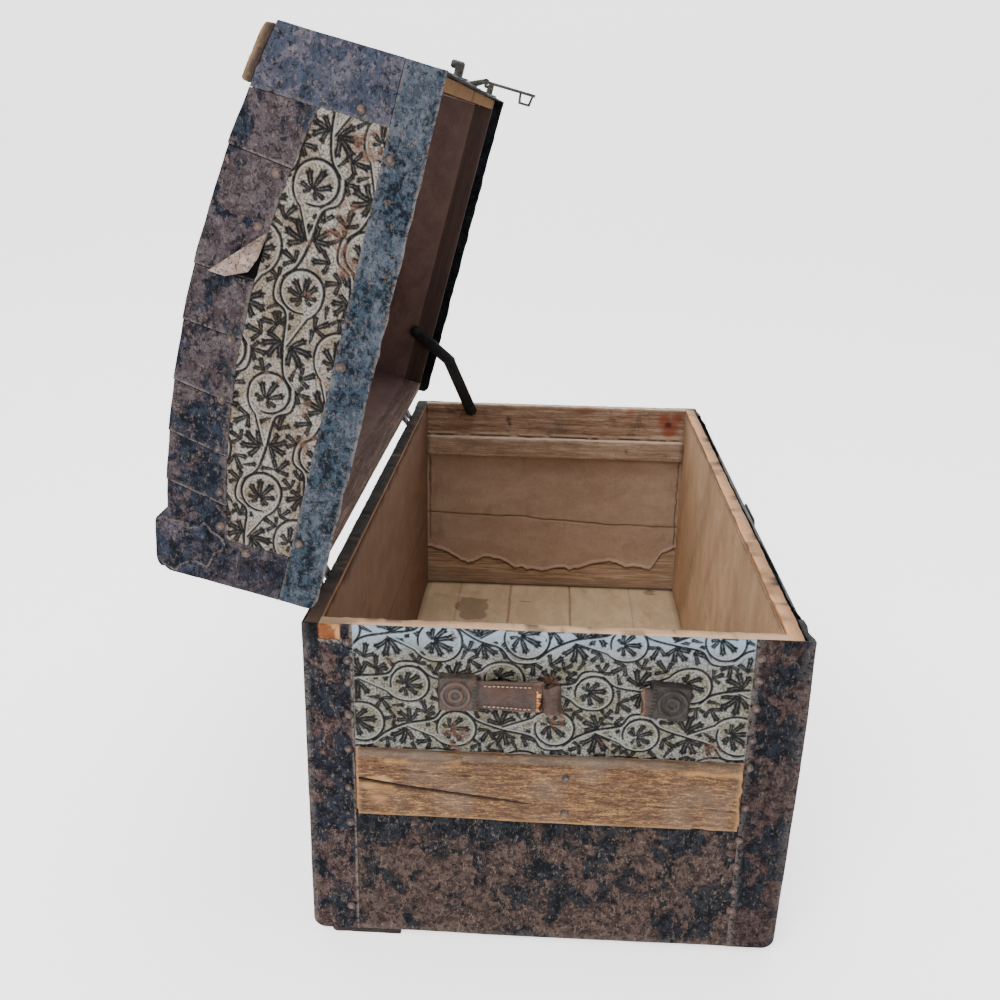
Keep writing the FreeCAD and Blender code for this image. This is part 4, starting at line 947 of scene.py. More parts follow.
def lid_bands():
    def rim(p, push, attrs):
        y, z = p[:, 1] - LID_Y, p[:, 2] - LID_Z
        a, b = round_off(-y, z + 14.0, 9.0)
        low = z < -13.2
        p[:, 1] = LID_Y - a
        p[:, 2] = LID_Z - 14.0 + b
        z = b - 14.0
        ragged = 0.6 * noise(p, 9, 41, 3)
        attrs["edge"] = np.maximum(0.7 * smooth(3.5, 0.3, np.abs(z + 14 - ragged)),
                                   0.4 * smooth(2.5, 0.5, np.abs(z - 20 - ragged)))
        attrs["rust"] = 0.7 * smooth(0.1, 0.9, noise(p, 50, 42, 2)) - 0.1
        attrs["dark"] = 0.8 * smooth(431.9, 431.6, np.abs(p[:, 0]))
        p[:, 2] += np.where(low, 1.1 * noise(p, 14, 43, 3) + 0.6, 0)
        return push + 0.5 * noise(p, 70, 44, 1) * smooth(18, -10, z)
    iron("lid_end_rim_bands", (0, 3.5, 3.5), IRON_RIM, "lid", 0.25, 0.3, 26, 11, rim)

    def valance(p, push, attrs):
        z = p[:, 2] - LID_Z
        attrs["edge"] = 0.6 * smooth(3, 0, np.abs(z + 13))
        attrs["rust"] = 0.6 * smooth(0, 0.8, noise(p, 40, 46, 2))
        attrs["dark"] = 0.6 * smooth(-463.5, -463.1, p[:, 1] - LID_Y)
        p[:, 2] += np.where(z < -13.2, np.clip(2.6 * noise(p, 16, 45, 3) + 1.6, 0, 5), 0)
        return push
    iron("lid_front_valance", (4, 0, 4), IRON_CORNER, "lid", 0.25, 0.25, 26, 12, valance)
    iron("lid_back_rim_band", (7, 0, 6), IRON_RIM, "lid", 0.25, 0.3, 30, 13)

    def corner(p, push, attrs):
        y, z = p[:, 1] - LID_Y, p[:, 2] - LID_Z
        attrs["edge"] = 0.35 * smooth(3, 0.5, np.minimum(np.abs(y - CORNER_FRONT), np.abs(y - CORNER_BACK)))
        attrs["rust"] = 0.6 * smooth(0, 0.8, noise(p, 34, 47, 2)) + 0.35 * smooth(-60, -10, y) * smooth(120, 60, z)
        hole = near(y, z, [(-413.6, 113.6, 2.4), (-421, 90, 2.2)]) * (p[:, 0] < 0)
        attrs["dark"] = np.maximum(hole, 0.35 * smooth(-80, -20, y))
        bend = 0.9 * smooth(3.5, 0.5, np.abs(y + 415 + 0.3 * z - 28)) * (y < -300)
        return push + bend * 0.5 - 0.8 * hole
    iron("lid_corner_bands", (10, 3.0, 3.0), IRON_CORNER, "lid", 0.3, 0.35, 30, 14, corner)

    planes = []
    for y, lean in ARC_SEAMS:
        tilt = Vector((0, 45.0, -lean)).normalized()
        for shift in (-2.2, -0.2, 0.2, 1.4):
            planes.append(((0, LID_Y + y + shift, LID_Z + 118), tilt))

    def arc(p, push, attrs):
        y, z = p[:, 1] - LID_Y, p[:, 2] - LID_Z
        leaned = np.stack([y - lean * (z - 118) / 45.0 - y0 for y0, lean in ARC_SEAMS])
        after = np.where(leaned > 0, leaned, 1e3).min(0)
        before = np.where(leaned < 0, -leaned, 1e3).min(0)
        push = push + 1.1 * smooth(42, 0, before) * (before < 900) + 0.2 * smooth(30, 0, after)
        attrs["edge"] = np.maximum(0.7 * smooth(2.6, 0.8, before),
                                   0.35 * smooth(3, 0.5, np.abs(arch(np.clip(y, CORNER_FRONT, CORNER_BACK)) - z)))
        attrs["dark"] = 0.95 * smooth(1.7, 0.2, after)
        attrs["rust"] = 0.75 * smooth(-0.4, 0.6, noise(p, 55, 48, 2)) - 0.25 * smooth(-150, -60, y)
        fold = z - 95.4 - 0.62 * np.clip(y + 309, 0, 40) + 4.0
        # painted shadow: where the corner is torn away the band is sunk and painted black, as the shade under the
        # folded flap
        torn = smooth(-304, -300, y) * smooth(-268.6, -270.2, y) * smooth(1.2, -1.2, fold) * (p[:, 0] < -420)
        attrs["dark"] = np.maximum(attrs["dark"], torn)
        return push - 1.05 * torn * (np.abs(p[:, 0]) > 431.8)
    iron("lid_arc_bands", (10, 3.2, 3.2), IRON_ARC, "lid", 0.25, 0.4, 30, 15, arc, planes)
    flap()


def flap():
    """Torn corner of an arc band, folded over so that its bare back shows."""
    free = np.array([(-267.0, 135.5), (-309.5, 95.0)])
    fold = np.array([(-267.0, 134.6), (-266.6, 121.0), (-275.2, 103.2), (-288.5, 97.6), (-308.6, 94.6)])
    run = np.concatenate([[0.0], np.cumsum(np.linalg.norm(np.diff(fold, axis=0), axis=1))])
    s, t = np.meshgrid(np.linspace(0, 1, 26), np.linspace(0, 1, 12))
    at = []
    for k in (0, 1):
        folded = np.interp(s * run[-1], run, fold[:, k])
        at.append(folded + (free[0, k] + (free[1, k] - free[0, k]) * s - folded) * t)
    lift = 1.4 + 4.6 * np.sin(math.pi * np.minimum(1, t * 0.9 + 0.05)) * np.sin(math.pi * s) + 1.0 * t
    points = xyz(-LID_BAND_X - lift, LID_Y + at[0], LID_Z + at[1])
    points[..., 0] += 0.5 * noise(points, 11, 51, 2)
    edge = np.zeros(s.shape)
    edge[-1], edge[0] = 0.8, 0.4
    vertices, faces, ring = plate(points, facing(points, 0, -1), 0 * edge, 0.5)
    piece("lid_arc_flap", vertices, faces, IRON_UNDER, "lid", (), {"edge": on_plate(edge, ring)})


# ------------------------------------------------------------------ wooden slats
CRACK = ((180, 183), (129, 176), (74, 170.5), (36, 166.5), (4, 163))
CRACK_2 = ((178, 197), (140, 195), (96, 192), (70, 191))
CRACK_3 = ((-178, 165), (-140, 168), (-100, 167))


def end_slat(side):
    """Slat across an end: split, chipped and bare on the left."""
    corners = [(428.0, 144.0), (440.0, 144.0), (440.0, 203.5), (433.5, 210.0), (428.0, 210.0)]
    profile, normals = rounded(corners, 1.6, 1.1)
    left = side < 0

    def raise_by(x, y, z):
        h = 0.28 * noise(xyz(x * 3, y * 0.09, z), 3.0, 61, 3) + 0.5 * noise(xyz(x, y * 0.3, z), 16, 62, 2)
        front = smooth(430, 436, x)
        chips = smooth(0.35, 0.7, noise(xyz(y * 0.5, 0, 0), 14, 66, 3))
        h = h - 1.6 * chips * smooth(5, 0.5, np.abs(z - 202.5)) * smooth(432, 436, x)
        h = h - 1.2 * chips * smooth(4, 0.5, z - 144)
        if left:
            d, along = line_distance(y, z, CRACK)
            width = 1.5 * (1 - along) + 0.35
            h = h - front * 5.5 * (1 - 0.8 * along) * np.exp(-(d / width) ** 2)
            middle = np.interp(y, [c[0] for c in CRACK[::-1]], [c[1] for c in CRACK[::-1]])
            h = h - front * 1.1 * smooth(0, 3, middle - z) * smooth(20, 120, y)
            for crack, depth in ((CRACK_2, 1.6), (CRACK_3, 1.2)):
                h = h - front * depth * np.exp(-(line_distance(y, z, crack)[0] / 0.6) ** 2)
        return np.maximum(h, -8.0)

    def wobble(x, y, z):
        return np.sign(y) * smooth(170, 177.5, np.abs(y)) * (1.2 * noise(xyz(x, z, 0), 5, 63, 2) - 0.6)

    grid, faces = sweep(profile, normals, np.arange(-177.5, 177.6, 1.1), raise_by, wobble)
    x, y, z = grid[..., 0], grid[..., 1], grid[..., 2]
    worn = smooth(-0.1, 0.5, noise(grid * (1, 0.6, 1), 20, 64, 3))
    edge = smooth(4, 0.5, z - 144) * 0.6 + 0.9 * smooth(3.5, 0.5, np.abs(z - 203.5)) * worn
    edge += 0.75 * smooth(0.5, 0.75, noise(grid * (1, 0.5, 1), 26, 67, 3)) * smooth(40, 120, y)
    edge = np.clip(edge + 0.6 * smooth(172, 178, np.abs(y)), 0, 1)
    grey = 0.42 * smooth(204, 206.5, z) * (1 - 0.7 * worn) + 0.2 * smooth(0.2, 0.9, noise(grid, 40, 65, 2))
    dark = 0.5 * smooth(2.5, 0.5, z - 144) * worn
    if left:
        d, t = line_distance(y, z, CRACK)
        split = smooth(1.7, 0.5, d / (0.55 + 0.9 * (1 - t))) * smooth(1.0, 0.8, t) * (x > 430)
        dark = split + near(y, z, [(-15.5, 193, 2.6)]) + dark
        faces = [f[::-1] for f in faces]
    else:
        edge, grey = edge * 0.3, grey * 0.5
    name = "end_slat_" + ENDS[side]
    attrs = {"edge": edge, "grey": grey, "dark": np.clip(dark, 0, 1)}
    piece(name, grid.reshape(-1, 3) * (side, 1, 1), faces, WOOD_SLAT if left else WOOD_DOME, "chest",
          [name], attrs, angle=45)


def wooden(name, step, material, body="chest", bevel=0.8, rough=0.3, along=0, seed=71, change=None, slot="box_wood",
           planes=()):
    """CAD boards with eased edges and a surface of shallow grain."""
    def relief(p):
        q = p.copy()
        q[:, along] *= 0.12
        return rough * noise(q, 5, seed, 3) + 0.35 * noise(p, 45, seed + 3, 2)
    lid = body == "lid"
    points, faces, attrs = shaped(name, step, material, bevel, lid, planes, relief, change)
    if lid:
        points[:, 2] = np.maximum(points[:, 2], LID_Z)
    elif slot == "box_wood":
        points[:, 2] = np.minimum(points[:, 2], RIM_Z)
    piece(name, points, faces, material, body, [name], attrs, angle=40)


def chipped(which):
    """Change for a wall: its top edge is chipped and ragged, and each wall has its own stains; the back wall's top
    carries painted shade from the open lid, and the right wall painted shadow above its cleat.
    """
    def apply(p, push, attrs):
        top = smooth(331.5, 335.0, p[:, 2])
        p[:, 2] -= top * np.clip(1.6 * noise(p, 11, 75, 3) + 0.5, 0, 3)
        attrs["edge"] = 0.7 * top
        attrs["grey"] = 0.35 * smooth(0.2, 0.9, noise(p, 50, 76, 2))
        if which == "back":
            # painted shade and dirt: the back wall's top, under the open lid, is dark, a little less towards the near
            # end
            attrs["dark"] = top * np.clip(1.0 - 0.2 * smooth(0.1, 0.8, noise(p, 18, 79, 3)), 0, 1)
            attrs["dark"] *= 1 - 0.1 * smooth(-330, -400, p[:, 0])
        if which == "front":
            outer = smooth(-215.5, -220, p[:, 1] + 2.0 * noise(p, 10, 77, 3))
            attrs["dark"] = top * (0.5 * outer + 0.55 * smooth(0.25, 0.6, noise(p * (0.5, 1, 1), 12, 80, 3)))
            chips = np.clip(2.2 * noise(p * (0.5, 1, 1), 14, 89, 3) + 0.4, 0, 3)
            p[:, 2] -= top * smooth(-213.5, -210.5, p[:, 1]) * chips
        if which == "left":
            inner = smooth(-420, -416, p[:, 0] + 2.0 * noise(p, 9, 73, 3))
            attrs["dark"] = top * (0.4 * inner + 0.6 * smooth(0.2, 0.5, noise(p * (1, 0.5, 1), 9, 74, 3)))
        if which == "right":
            shelf = smooth(2.2, 0.6, np.abs(p[:, 2] - 286.5 - 1.6 * noise(p, 16, 72, 3)))
            attrs["edge"] = np.maximum(attrs["edge"], shelf)
            red = near(p[:, 1], p[:, 2], [(-186, 304, 16), (-176, 318, 12), (-196, 322, 10)])
            attrs["red"] = 0.8 * red + 0.4 * smooth(0.4, 0.9, noise(p, 30, 70, 2))
            holes = near(p[:, 1], p[:, 2], [(76, 312, 5), (74, 304, 3.5), (-183, 311, 6)])
            # dark holes, and painted shadow just above the cleat, under the light torn edge
            attrs["dark"] = 0.75 * holes + 0.6 * smooth(5, 1, p[:, 2] - 283) * (1 - shelf)
        return push * (1 - 0.5 * top)
    return apply


def boards():
    rows = [((0, 0, z), (0, 0, 1)) for z in np.arange(284.5, 334, 3.0)]
    for wall, step, material, along in (("left", (0, 3, 0), WOOD_RIM, 1), ("right", (0, 3, 0), WOOD_TOP, 1),
                                        ("front", (4, 0, 0), WOOD_LONG, 0), ("back", (4, 0, 0), WOOD_LONG, 0)):
        wooden(wall + "_wall", step, material, along=along, change=chipped(wall), bevel=0.6,
               planes=rows if wall == "right" else rows[-3:])

    def cleat(p, push, attrs):
        attrs["edge"] = 0.9 * smooth(280.5, 283, p[:, 2] + 1.2 * noise(p, 12, 86, 3))
        # a dark spot, and painted shade towards the cleats' ends, in the corners against the long walls
        attrs["dark"] = 0.7 * near(p[:, 1], p[:, 2], [(-116, 266, 3)]) + 0.5 * smooth(200, 208, np.abs(p[:, 1]))
        return push - 0.8 * smooth(281, 283, p[:, 2]) * smooth(-0.2, 0.6, noise(p, 14, 87, 3))
    wooden("tray_cleats", (0, 4, 5), WOOD_CLEAT, along=1, bevel=1.2, rough=0.5, change=cleat)

    def rim(p, push, attrs):
        z = p[:, 2] - LID_Z
        attrs["edge"] = 0.9 * smooth(2.0, 0.5, z)
        specks = smooth(0.3, 0.6, noise(p * (1, 0.3, 1), 12, 88, 3))
        attrs["dark"] = 0.6 * smooth(2, 6, z) + 0.5 * smooth(2.0, 0.5, z) * specks
        return push
    wooden("lid_front_board", (5, 4, 6), WOOD_LID_RIM, "lid", along=1, change=rim)
    wooden("lid_back_board", (8, 0, 8), WOOD_LID, "lid")
    wooden("lid_left_end", (0, 6, 6), WOOD_LID_END, "lid", along=1)
    wooden("lid_right_end", (0, 6, 6), WOOD_LID_END, "lid", along=1)
    wooden("bottom_runners", (12, 8, 0), WOOD_DARK, bevel=1.0, slot="runner_wood")
    wooden("long_slats", (7, 0, 6), WOOD_DOME, bevel=1.5, rough=0.5, slot="slat_wood")

    def slat(p, push, attrs):
        z = dome(np.clip(p[:, 1] - LID_Y, -LID_DEEP, 0))[0]
        high = p[:, 2] - LID_Z - z
        soften_slat(p)
        left_end = smooth(-426, -431, p[:, 0])
        rubbed = smooth(5, 8, high) * smooth(0.0, 0.8, noise(p * (1, 3, 1), 30, 77, 2))
        attrs["edge"] = 0.5 * rubbed + 0.55 * left_end * smooth(4.5, 6.5, high)
        attrs["dark"] = 0.45 * smooth(-428, -431.5, p[:, 0]) * smooth(6, 3, high) + 0.25 * left_end * smooth(8, 6, high)
        return push
    wooden("lid_slats", (6, 4, 3), WOOD_DOME, "lid", 2.6, 0.8, 0, 78, slat, "slat_wood")

# ------------------------------------------------------------------ stamped iron
def round_off(a, b, r):
    """Turn a square corner into a round one: a and b are the distances inward from its two faces."""
    inside = (a < r) & (b < r)
    u, v = r - a, r - b
    length = np.maximum(np.hypot(u, v), 1e-6)
    f = np.where(inside, np.maximum(np.abs(u), np.abs(v)) / length, 1.0)
    return np.where(inside, r - u * f, a), np.where(inside, r - v * f, b)


def soften_slat(p):
    """Round the outer edges of the dome's slats, most at the back one."""
    y, z = p[:, 1] - LID_Y, p[:, 2] - LID_Z
    top = dome(np.clip(y, -LID_DEEP, 0))[0] + 9.0
    for edge, way, r in ((0.4, -1, 12.0), (-49.0, 1, 7.0)):
        a = (y - edge) * way
        near_slat = (y > -60) & (top - z < r + 2)
        a2, b2 = round_off(np.where(near_slat, a, 99.0), top - z, r)
        p[:, 1] = np.where(near_slat, LID_Y + edge + way * a2, p[:, 1])
        p[:, 2] = np.where(near_slat, LID_Z + top - b2, p[:, 2])
        y, z = p[:, 1] - LID_Y, p[:, 2] - LID_Z


def clamp(name, body, step, material):
    """Slat clamps with ribs pressed into them."""
    def change(p, push, attrs):
        attrs["rust"] = 0.5 * smooth(0, 0.8, noise(p, 25, 81, 2))
        x = np.abs(p[:, 0])
        rib = np.cos((x - x.min()) * 2 * math.pi / 7.0)
        if body == "lid":
            soften_slat(p)
        return push + 0.25 * rib
    iron(name, step, material, body, 0.3, 0.25, 20, 17, change)


def corner_plate():
    """Ornate stamped plate over the end of the lid's back slat, with a scalloped outline."""
    outline = [(-45.0, 137.0), (-48.1, 128.0), (-50.2, 118.0), (-47.6, 114.1), (-46.2, 109.6), (-48.2, 103.1),
               (-54.3, 98.2), (-52.9, 93.6), (-48.6, 89.4), (-46.5, 82.9), (-43.1, 78.0), (-38.0, 75.2),
               (-31.6, 77.4), (-27.1, 83.1), (-21.7, 83.9), (-15.0, 85.5), (-11.5, 87.5), (-13.5, 92.2),
               (-14.3, 97.6), (-11.8, 105.0), (-6.7, 110.7), (-0.9, 113.0), (-2.6, 119.8), (-4.0, 124.8),
               (-6.7, 128.4), (-12.4, 131.6), (-20.0, 134.5), (-32.2, 137.2)]
    y, z = np.meshgrid(np.arange(-68, 1, 1.0), np.arange(74, 140, 1.0))
    inside = np.zeros(y.shape, bool)
    for (ay, az), (by, bz) in zip(outline, outline[1:] + outline[:1]):
        crossed = (az > z) != (bz > z)
        inside ^= crossed & (y < (by - ay) * (z - az) / (bz - az + 1e-9) + ay)
    d = line_distance(y, z, outline + outline[:1])[0]
    signed = np.where(inside, d, -d)
    rivet = np.hypot(y + 34, z - 85)
    height = 1.3 * smooth(3.0, 1.6, np.abs(signed - 1.2)) + 1.2 * smooth(5.0, 3.5, rivet)
    height = height + 0.9 * np.exp(-(rivet / 2.0) ** 2) + 1.3 * smooth(4, 14, signed)
    points = xyz(-433.1 - 0.9 * height, LID_Y + y, LID_Z + z)
    points[..., 0] += 0.35 * noise(points, 12, 83, 2)
    worn = 0.8 * smooth(1.8, 0.7, np.abs(signed - 0.9)) * smooth(132, 126, z) + 0.3 * smooth(4.6, 4.0, rivet)
    bm = bmesh.new()
    layer = bm.verts.layers.float.new("edge")
    verts = [bm.verts.new(p) for p in points.reshape(-1, 3)]
    for v, value in zip(verts, worn.ravel()):
        v[layer] = min(1.0, value)
    idx = np.arange(y.size).reshape(y.shape)
    quads = np.stack([idx[:-1, :-1], idx[1:, :-1], idx[1:, 1:], idx[:-1, 1:]], -1)
    keep = signed > -0.3
    for quad in quads[keep[:-1, :-1] & keep[1:, :-1] & keep[:-1, 1:] & keep[1:, 1:]]:
        bm.faces.new([verts[k] for k in quad])
    bmesh.ops.delete(bm, geom=[v for v in bm.verts if not v.link_faces], context="VERTS")
    bmesh.ops.recalc_face_normals(bm, faces=bm.faces)
    if sum(f.normal.x for f in bm.faces) > 0:
        bmesh.ops.reverse_faces(bm, faces=bm.faces)
    geom = bmesh.ops.extrude_face_region(bm, geom=bm.faces[:])["geom"]
    bmesh.ops.translate(bm, verts=[g for g in geom if isinstance(g, bmesh.types.BMVert)], vec=(1.0, 0, 0))
    bmesh.ops.recalc_face_normals(bm, faces=bm.faces)
    edge = np.array([v[layer] for v in bm.verts])
    points, faces, _ = from_bmesh(bm)
    piece("lid_corner_plate", points, faces, IRON_CORNER, "lid", (),
          {"rust": -0.3, "edge": edge, "dark": 0.3}, angle=40)


def handle_caps():
    """Square stamped caps: a round boss with rings, ribs towards the strap."""
    parts = []
    half_y, half_z = 19, 18.25
    y, z = np.meshgrid(np.linspace(-half_y, half_y, 77), np.linspace(-half_z, half_z, 75))
    corner = np.hypot(np.maximum(np.abs(y) - 15, 0), np.maximum(np.abs(z) - 14.25, 0))
    border = np.minimum(np.minimum(half_y - np.abs(y), half_z - np.abs(z)), 4.0 - corner)
    for side in (-1, 1):
        for centre, inward in ((83.0, -1), (-107.0, 1)):
            r = np.hypot(y + 2.5 * inward, z)
            height = 6.0 * smooth(-0.4, 2.6, border) + 0.8
            boss = 2.2 * smooth(14.6, 13.2, r) - 1.5 * smooth(11.5, 9.5, r)
            boss = boss + 1.7 * smooth(8.0, 6.4, r) - 1.4 * smooth(4.6, 3.2, r)
            height = height + boss + 0.9 * np.exp(-(r / 1.8) ** 2)
            ribs = 0.55 * np.cos(z * 2 * math.pi / 3.6) * smooth(12, 13.5, y * inward) * smooth(18.5, 17.5, y * inward)
            height += ribs + 0.4 * noise(xyz(y, z, side * 9 + centre), 8, 85, 2)
            height = np.clip(height, 0.6, 9.6)
            # painted highlight: lighter on the top of the boss and on the border ridge
            high = np.clip(0.5 * smooth(7.2, 9.2, height) + 0.4 * smooth(2.6, 0.8, np.abs(border - 2.2)), 0, 1)
            turn = 0.09 if side < 0 and inward > 0 else 0.0
            points = xyz(side * TIN_X, centre + y - turn * z, CAP_Z - 0.25 + z + turn * y)
            vertices, faces, ring = plate(points, facing(points, 0, side), height, 0.0)
            parts.append((vertices, faces, {"high": on_plate(high, ring), "dark": 0.80 if inward > 0 else 0.05}))
    points, faces, attrs = joined(parts)
    piece("handle_caps", points, faces, CAP_IRON, "chest", ["handle_caps"], attrs, angle=55)


# ------------------------------------------------------------------ leather
def strap(path, half_w, thick):
    """Closed leather band along a path of (x, y, z, normal x, normal y, width factor): its grid and faces."""
    turn = np.linspace(0, 2 * math.pi, 28, endpoint=False)
    a = np.array([math.copysign(abs(math.cos(t)) ** 0.35, math.cos(t)) for t in turn]) * half_w
    b = np.array([math.copysign(abs(math.sin(t)) ** 0.6, math.sin(t)) for t in turn]) * thick / 2
    out = b * (1 + 0.125 * (1 - (a / half_w) ** 2) * (b > 0))
    x, y, z, nx, ny, wide = (np.array(v)[:, None] for v in zip(*path))
    grid = xyz(x + nx * out, y + ny * out, z + a * wide)
    return grid, tube(grid)


def left_strap(y):
    """Middle of the torn strap at y: x, z and width factor."""
    f = (70 - y) / 61
    lift = 3.4 + 3.6 * float(smooth(0.0, 0.22, f)) + 1.4 * math.sin(math.pi * f)
    return -TIN_X - lift, 273 + 1.6 * f + 0.8 * math.sin(f * 5), 0.94 + 0.12 * f


def right_strap(y):
    """Middle of the whole strap at y, which bows out between its caps: x and the normal."""
    m = (y + 12) / 74.0
    bow, slope = (24.0 * (1 - m * m), 48.0 * m / 74.0) if abs(m) < 1 else (0.0, 0.0)
    n = math.hypot(1, slope)
    return 433.0 + bow, 1 / n, slope / n


def leather():
    # left end: a stub that comes out from under the back cap and is torn off near the middle
    path = []
    for y in np.linspace(70, 9, 56):
        x, z, wide = left_strap(y)
        path.append((x, y, z, -1, 0, wide))
    grid, faces = strap(path, 14.5, 4.6)
    grid[..., 0] += 0.4 * noise(grid, 9, 91, 2)
    end = smooth(17, 8, grid[..., 1])
    grid[..., 1] -= end * (3.5 * noise(grid * (1, 0, 1), 6, 92, 2) + 1.5)
    across = np.abs(grid[..., 2] - 274.0)
    seam = smooth(1.5, 0.4, np.abs(across - SEAM)) * (grid[..., 0] < -434)
    grid[..., 0] += 0.7 * seam
    edge = np.clip(smooth(12.5, 14.4, across) * 0.5 + end * 0.6, 0, 1)
    # dark seam, and painted shade where the strap goes under the back cap
    parts = [(grid.reshape(-1, 3), faces, {"edge": edge, "dark": 0.5 * seam + 0.6 * smooth(62, 66, grid[..., 1])})]
    # short stub under the front cap
    path = [(-TIN_X - 4.0 - 1.6 * (y + 96) / 12, y, CAP_Z, -1, 0, 1) for y in np.linspace(-96, -84, 18)]
    grid, faces = strap(path, 13.5, 4.4)
    grid[..., 1] += smooth(-90, -84, grid[..., 1]) * (3.0 * noise(grid * (1, 0, 1), 6, 93, 2) + 1)
    edge = 0.9 * smooth(-86.0, -84.0, grid[..., 1] - 1.5 * noise(grid * (1, 0, 1), 6, 97, 2))
    # painted shade where the stub goes under the front cap
    parts.append((grid.reshape(-1, 3), faces, {"edge": edge, "dark": 0.5 * smooth(-85, -89, grid[..., 1])}))
    # right end: whole strap
    path = []
    for y in np.linspace(-96, 72, 96):
        x, nx, ny = right_strap(y)
        path.append((x, y, CAP_Z, nx, ny, 1))
    grid, faces = strap(path, 14.5, 4.8)
    grid += 0.2 * noise(grid, 9, 94, 2)[..., None]
    edge = 0.4 * smooth(12.5, 14.4, np.abs(grid[..., 2] - CAP_Z))
    parts.append((grid.reshape(-1, 3), [f[::-1] for f in faces], {"edge": edge, "dark": 0}))
    points, faces, attrs = joined(parts)
    piece("leather_handles", points, faces, LEATHER, "chest", ["leather_handles"], attrs, angle=60)
    torn_end()
    frays()
    stitches()


def torn_end():
    """Roll of leather at the torn end, where the strap went round its lost ring; its inside is painted dark as shade.
    """
    nz, na = 24, 30
    turn = np.linspace(-0.62 * math.pi, 0.80 * math.pi, na)
    rows = []
    for j in range(nz):
        f = j / (nz - 1)
        row = []
        for r, angles in ((8.6, turn), (5.4, turn[::-1])):
            for t in angles:
                wave = 1.6 * math.sin(2.3 * t) if j == nz - 1 else 0.8 * math.sin(2 * t + 2) if j == 0 else 0
                rr = r * (1 + 0.06 * math.sin(3 * t + 4 * f))
                row.append((-437.4 - rr * 0.92 * math.cos(t), -2.0 - rr * math.sin(t) + 2.0 * f,
                            260.5 + 27.0 * f + wave))
        rows.append(row)
    grid = np.array(rows)
    grid += 0.35 * noise(grid, 6, 95, 2)[..., None]
    faces = tube(grid, False)
    ring = 2 * na
    for base, way in ((0, 1), ((nz - 1) * ring, -1)):
        faces += [[base + i for i in (k, k + 1, ring - 2 - k, ring - 1 - k)][::way] for k in range(na - 1)]
    dark = np.zeros((nz, ring))
    # painted shade: the inside of the roll is dark
    dark[:, na:] = 0.85
    edge = 0.35 * smooth(284, 287, grid[..., 2]) + 0.2 * smooth(0.2, 0.8, noise(grid, 7, 96, 2))
    edge[:, na:] = 0
    piece("leather_torn_loop", grid.reshape(-1, 3), faces, LEATHER, "chest", (),
          {"edge": edge, "dark": dark}, angle=60)


def frays():
    """Raw fibres at both torn ends."""
    rng = np.random.RandomState(5)
    found = []
    for count, low, high, x, play, y, lean, way, longest in ((16, 261, 286, -437.5, 2.0, 12.0, -0.9, -1.0, 4.5),
                                                             (9, 262, 284, -432.0, 2.5, -85.5, -0.6, 1.0, 4)):
        for _ in range(count):
            z = rng.uniform(low, high)
            found.append((np.array((x - rng.uniform(0, play), y, z)),
                          np.array((rng.uniform(lean, 0.2), way, rng.uniform(-0.5, 0.5))), rng.uniform(2, longest)))
    parts = []
    square = ((-1, -0.5), (1, -0.5), (1, 0.5), (-1, 0.5))
    for start, way, length in found:
        way = way / np.linalg.norm(way)
        across = np.cross(way, (1, 0, 0))
        across /= np.linalg.norm(across)
        up = np.cross(way, across)
        wide = rng.uniform(0.6, 1.4)
        rows = []
        for f, w in ((0, 1.0), (0.35, 1.1), (0.7, 0.7), (1.0, 0.12)):
            centre = start + way * length * f + up * 1.2 * f * f
            rows.append([centre + across * a * wide * w + up * b * w for a, b in square])
        grid = np.array(rows)
        parts.append((grid.reshape(-1, 3), tube(grid), {}))
    points, faces, _ = joined(parts)
    piece("leather_frays", points, faces, LEATHER_RAW, "chest", (), angle=30)


def stitches():
    """Short raised stitches in two rows along each strap."""
    parts = []

    def stitch(a, b, out):
        a, b, out = np.array(a, float), np.array(b, float), np.array(out, float)
        side = np.cross((b - a) / np.linalg.norm(b - a), out)
        rows = []
        for f, r in ((0, 0.15), (0.18, 0.5), (0.5, 0.6), (0.82, 0.5), (1, 0.15)):
            centre = a + (b - a) * f + out * (0.25 + 0.45 * math.sin(math.pi * f))
            turn = [k * math.pi / 3 for k in range(6)]
            rows.append([centre + side * r * math.cos(t) + out * r * math.sin(t) for t in turn])
        grid = np.array(rows)
        parts.append((grid.reshape(-1, 3), tube(grid), {}))

    for row in (-SEAM, SEAM):
        for y in np.arange(60, 18, -4.0):
            x, z, wide = left_strap(y)
            z = z + row * wide
            stitch((x - 2.6, y, z), (x - 2.6, y - 2.7, z + 0.1), (-1, 0, 0))
        for y in np.arange(-82, 58, 4.2):
            x, nx, ny = right_strap(y)
            end = (right_strap(y + 2.8)[0] + 2.5 * nx, y + 2.8 + 2.5 * ny, CAP_Z + row)
            stitch((x + 2.5 * nx, y + 2.5 * ny, CAP_Z + row), end, (nx, ny, 0))
    points, faces, _ = joined(parts)
    piece("handle_stitches", points, faces, THREAD, "chest", (), angle=60)


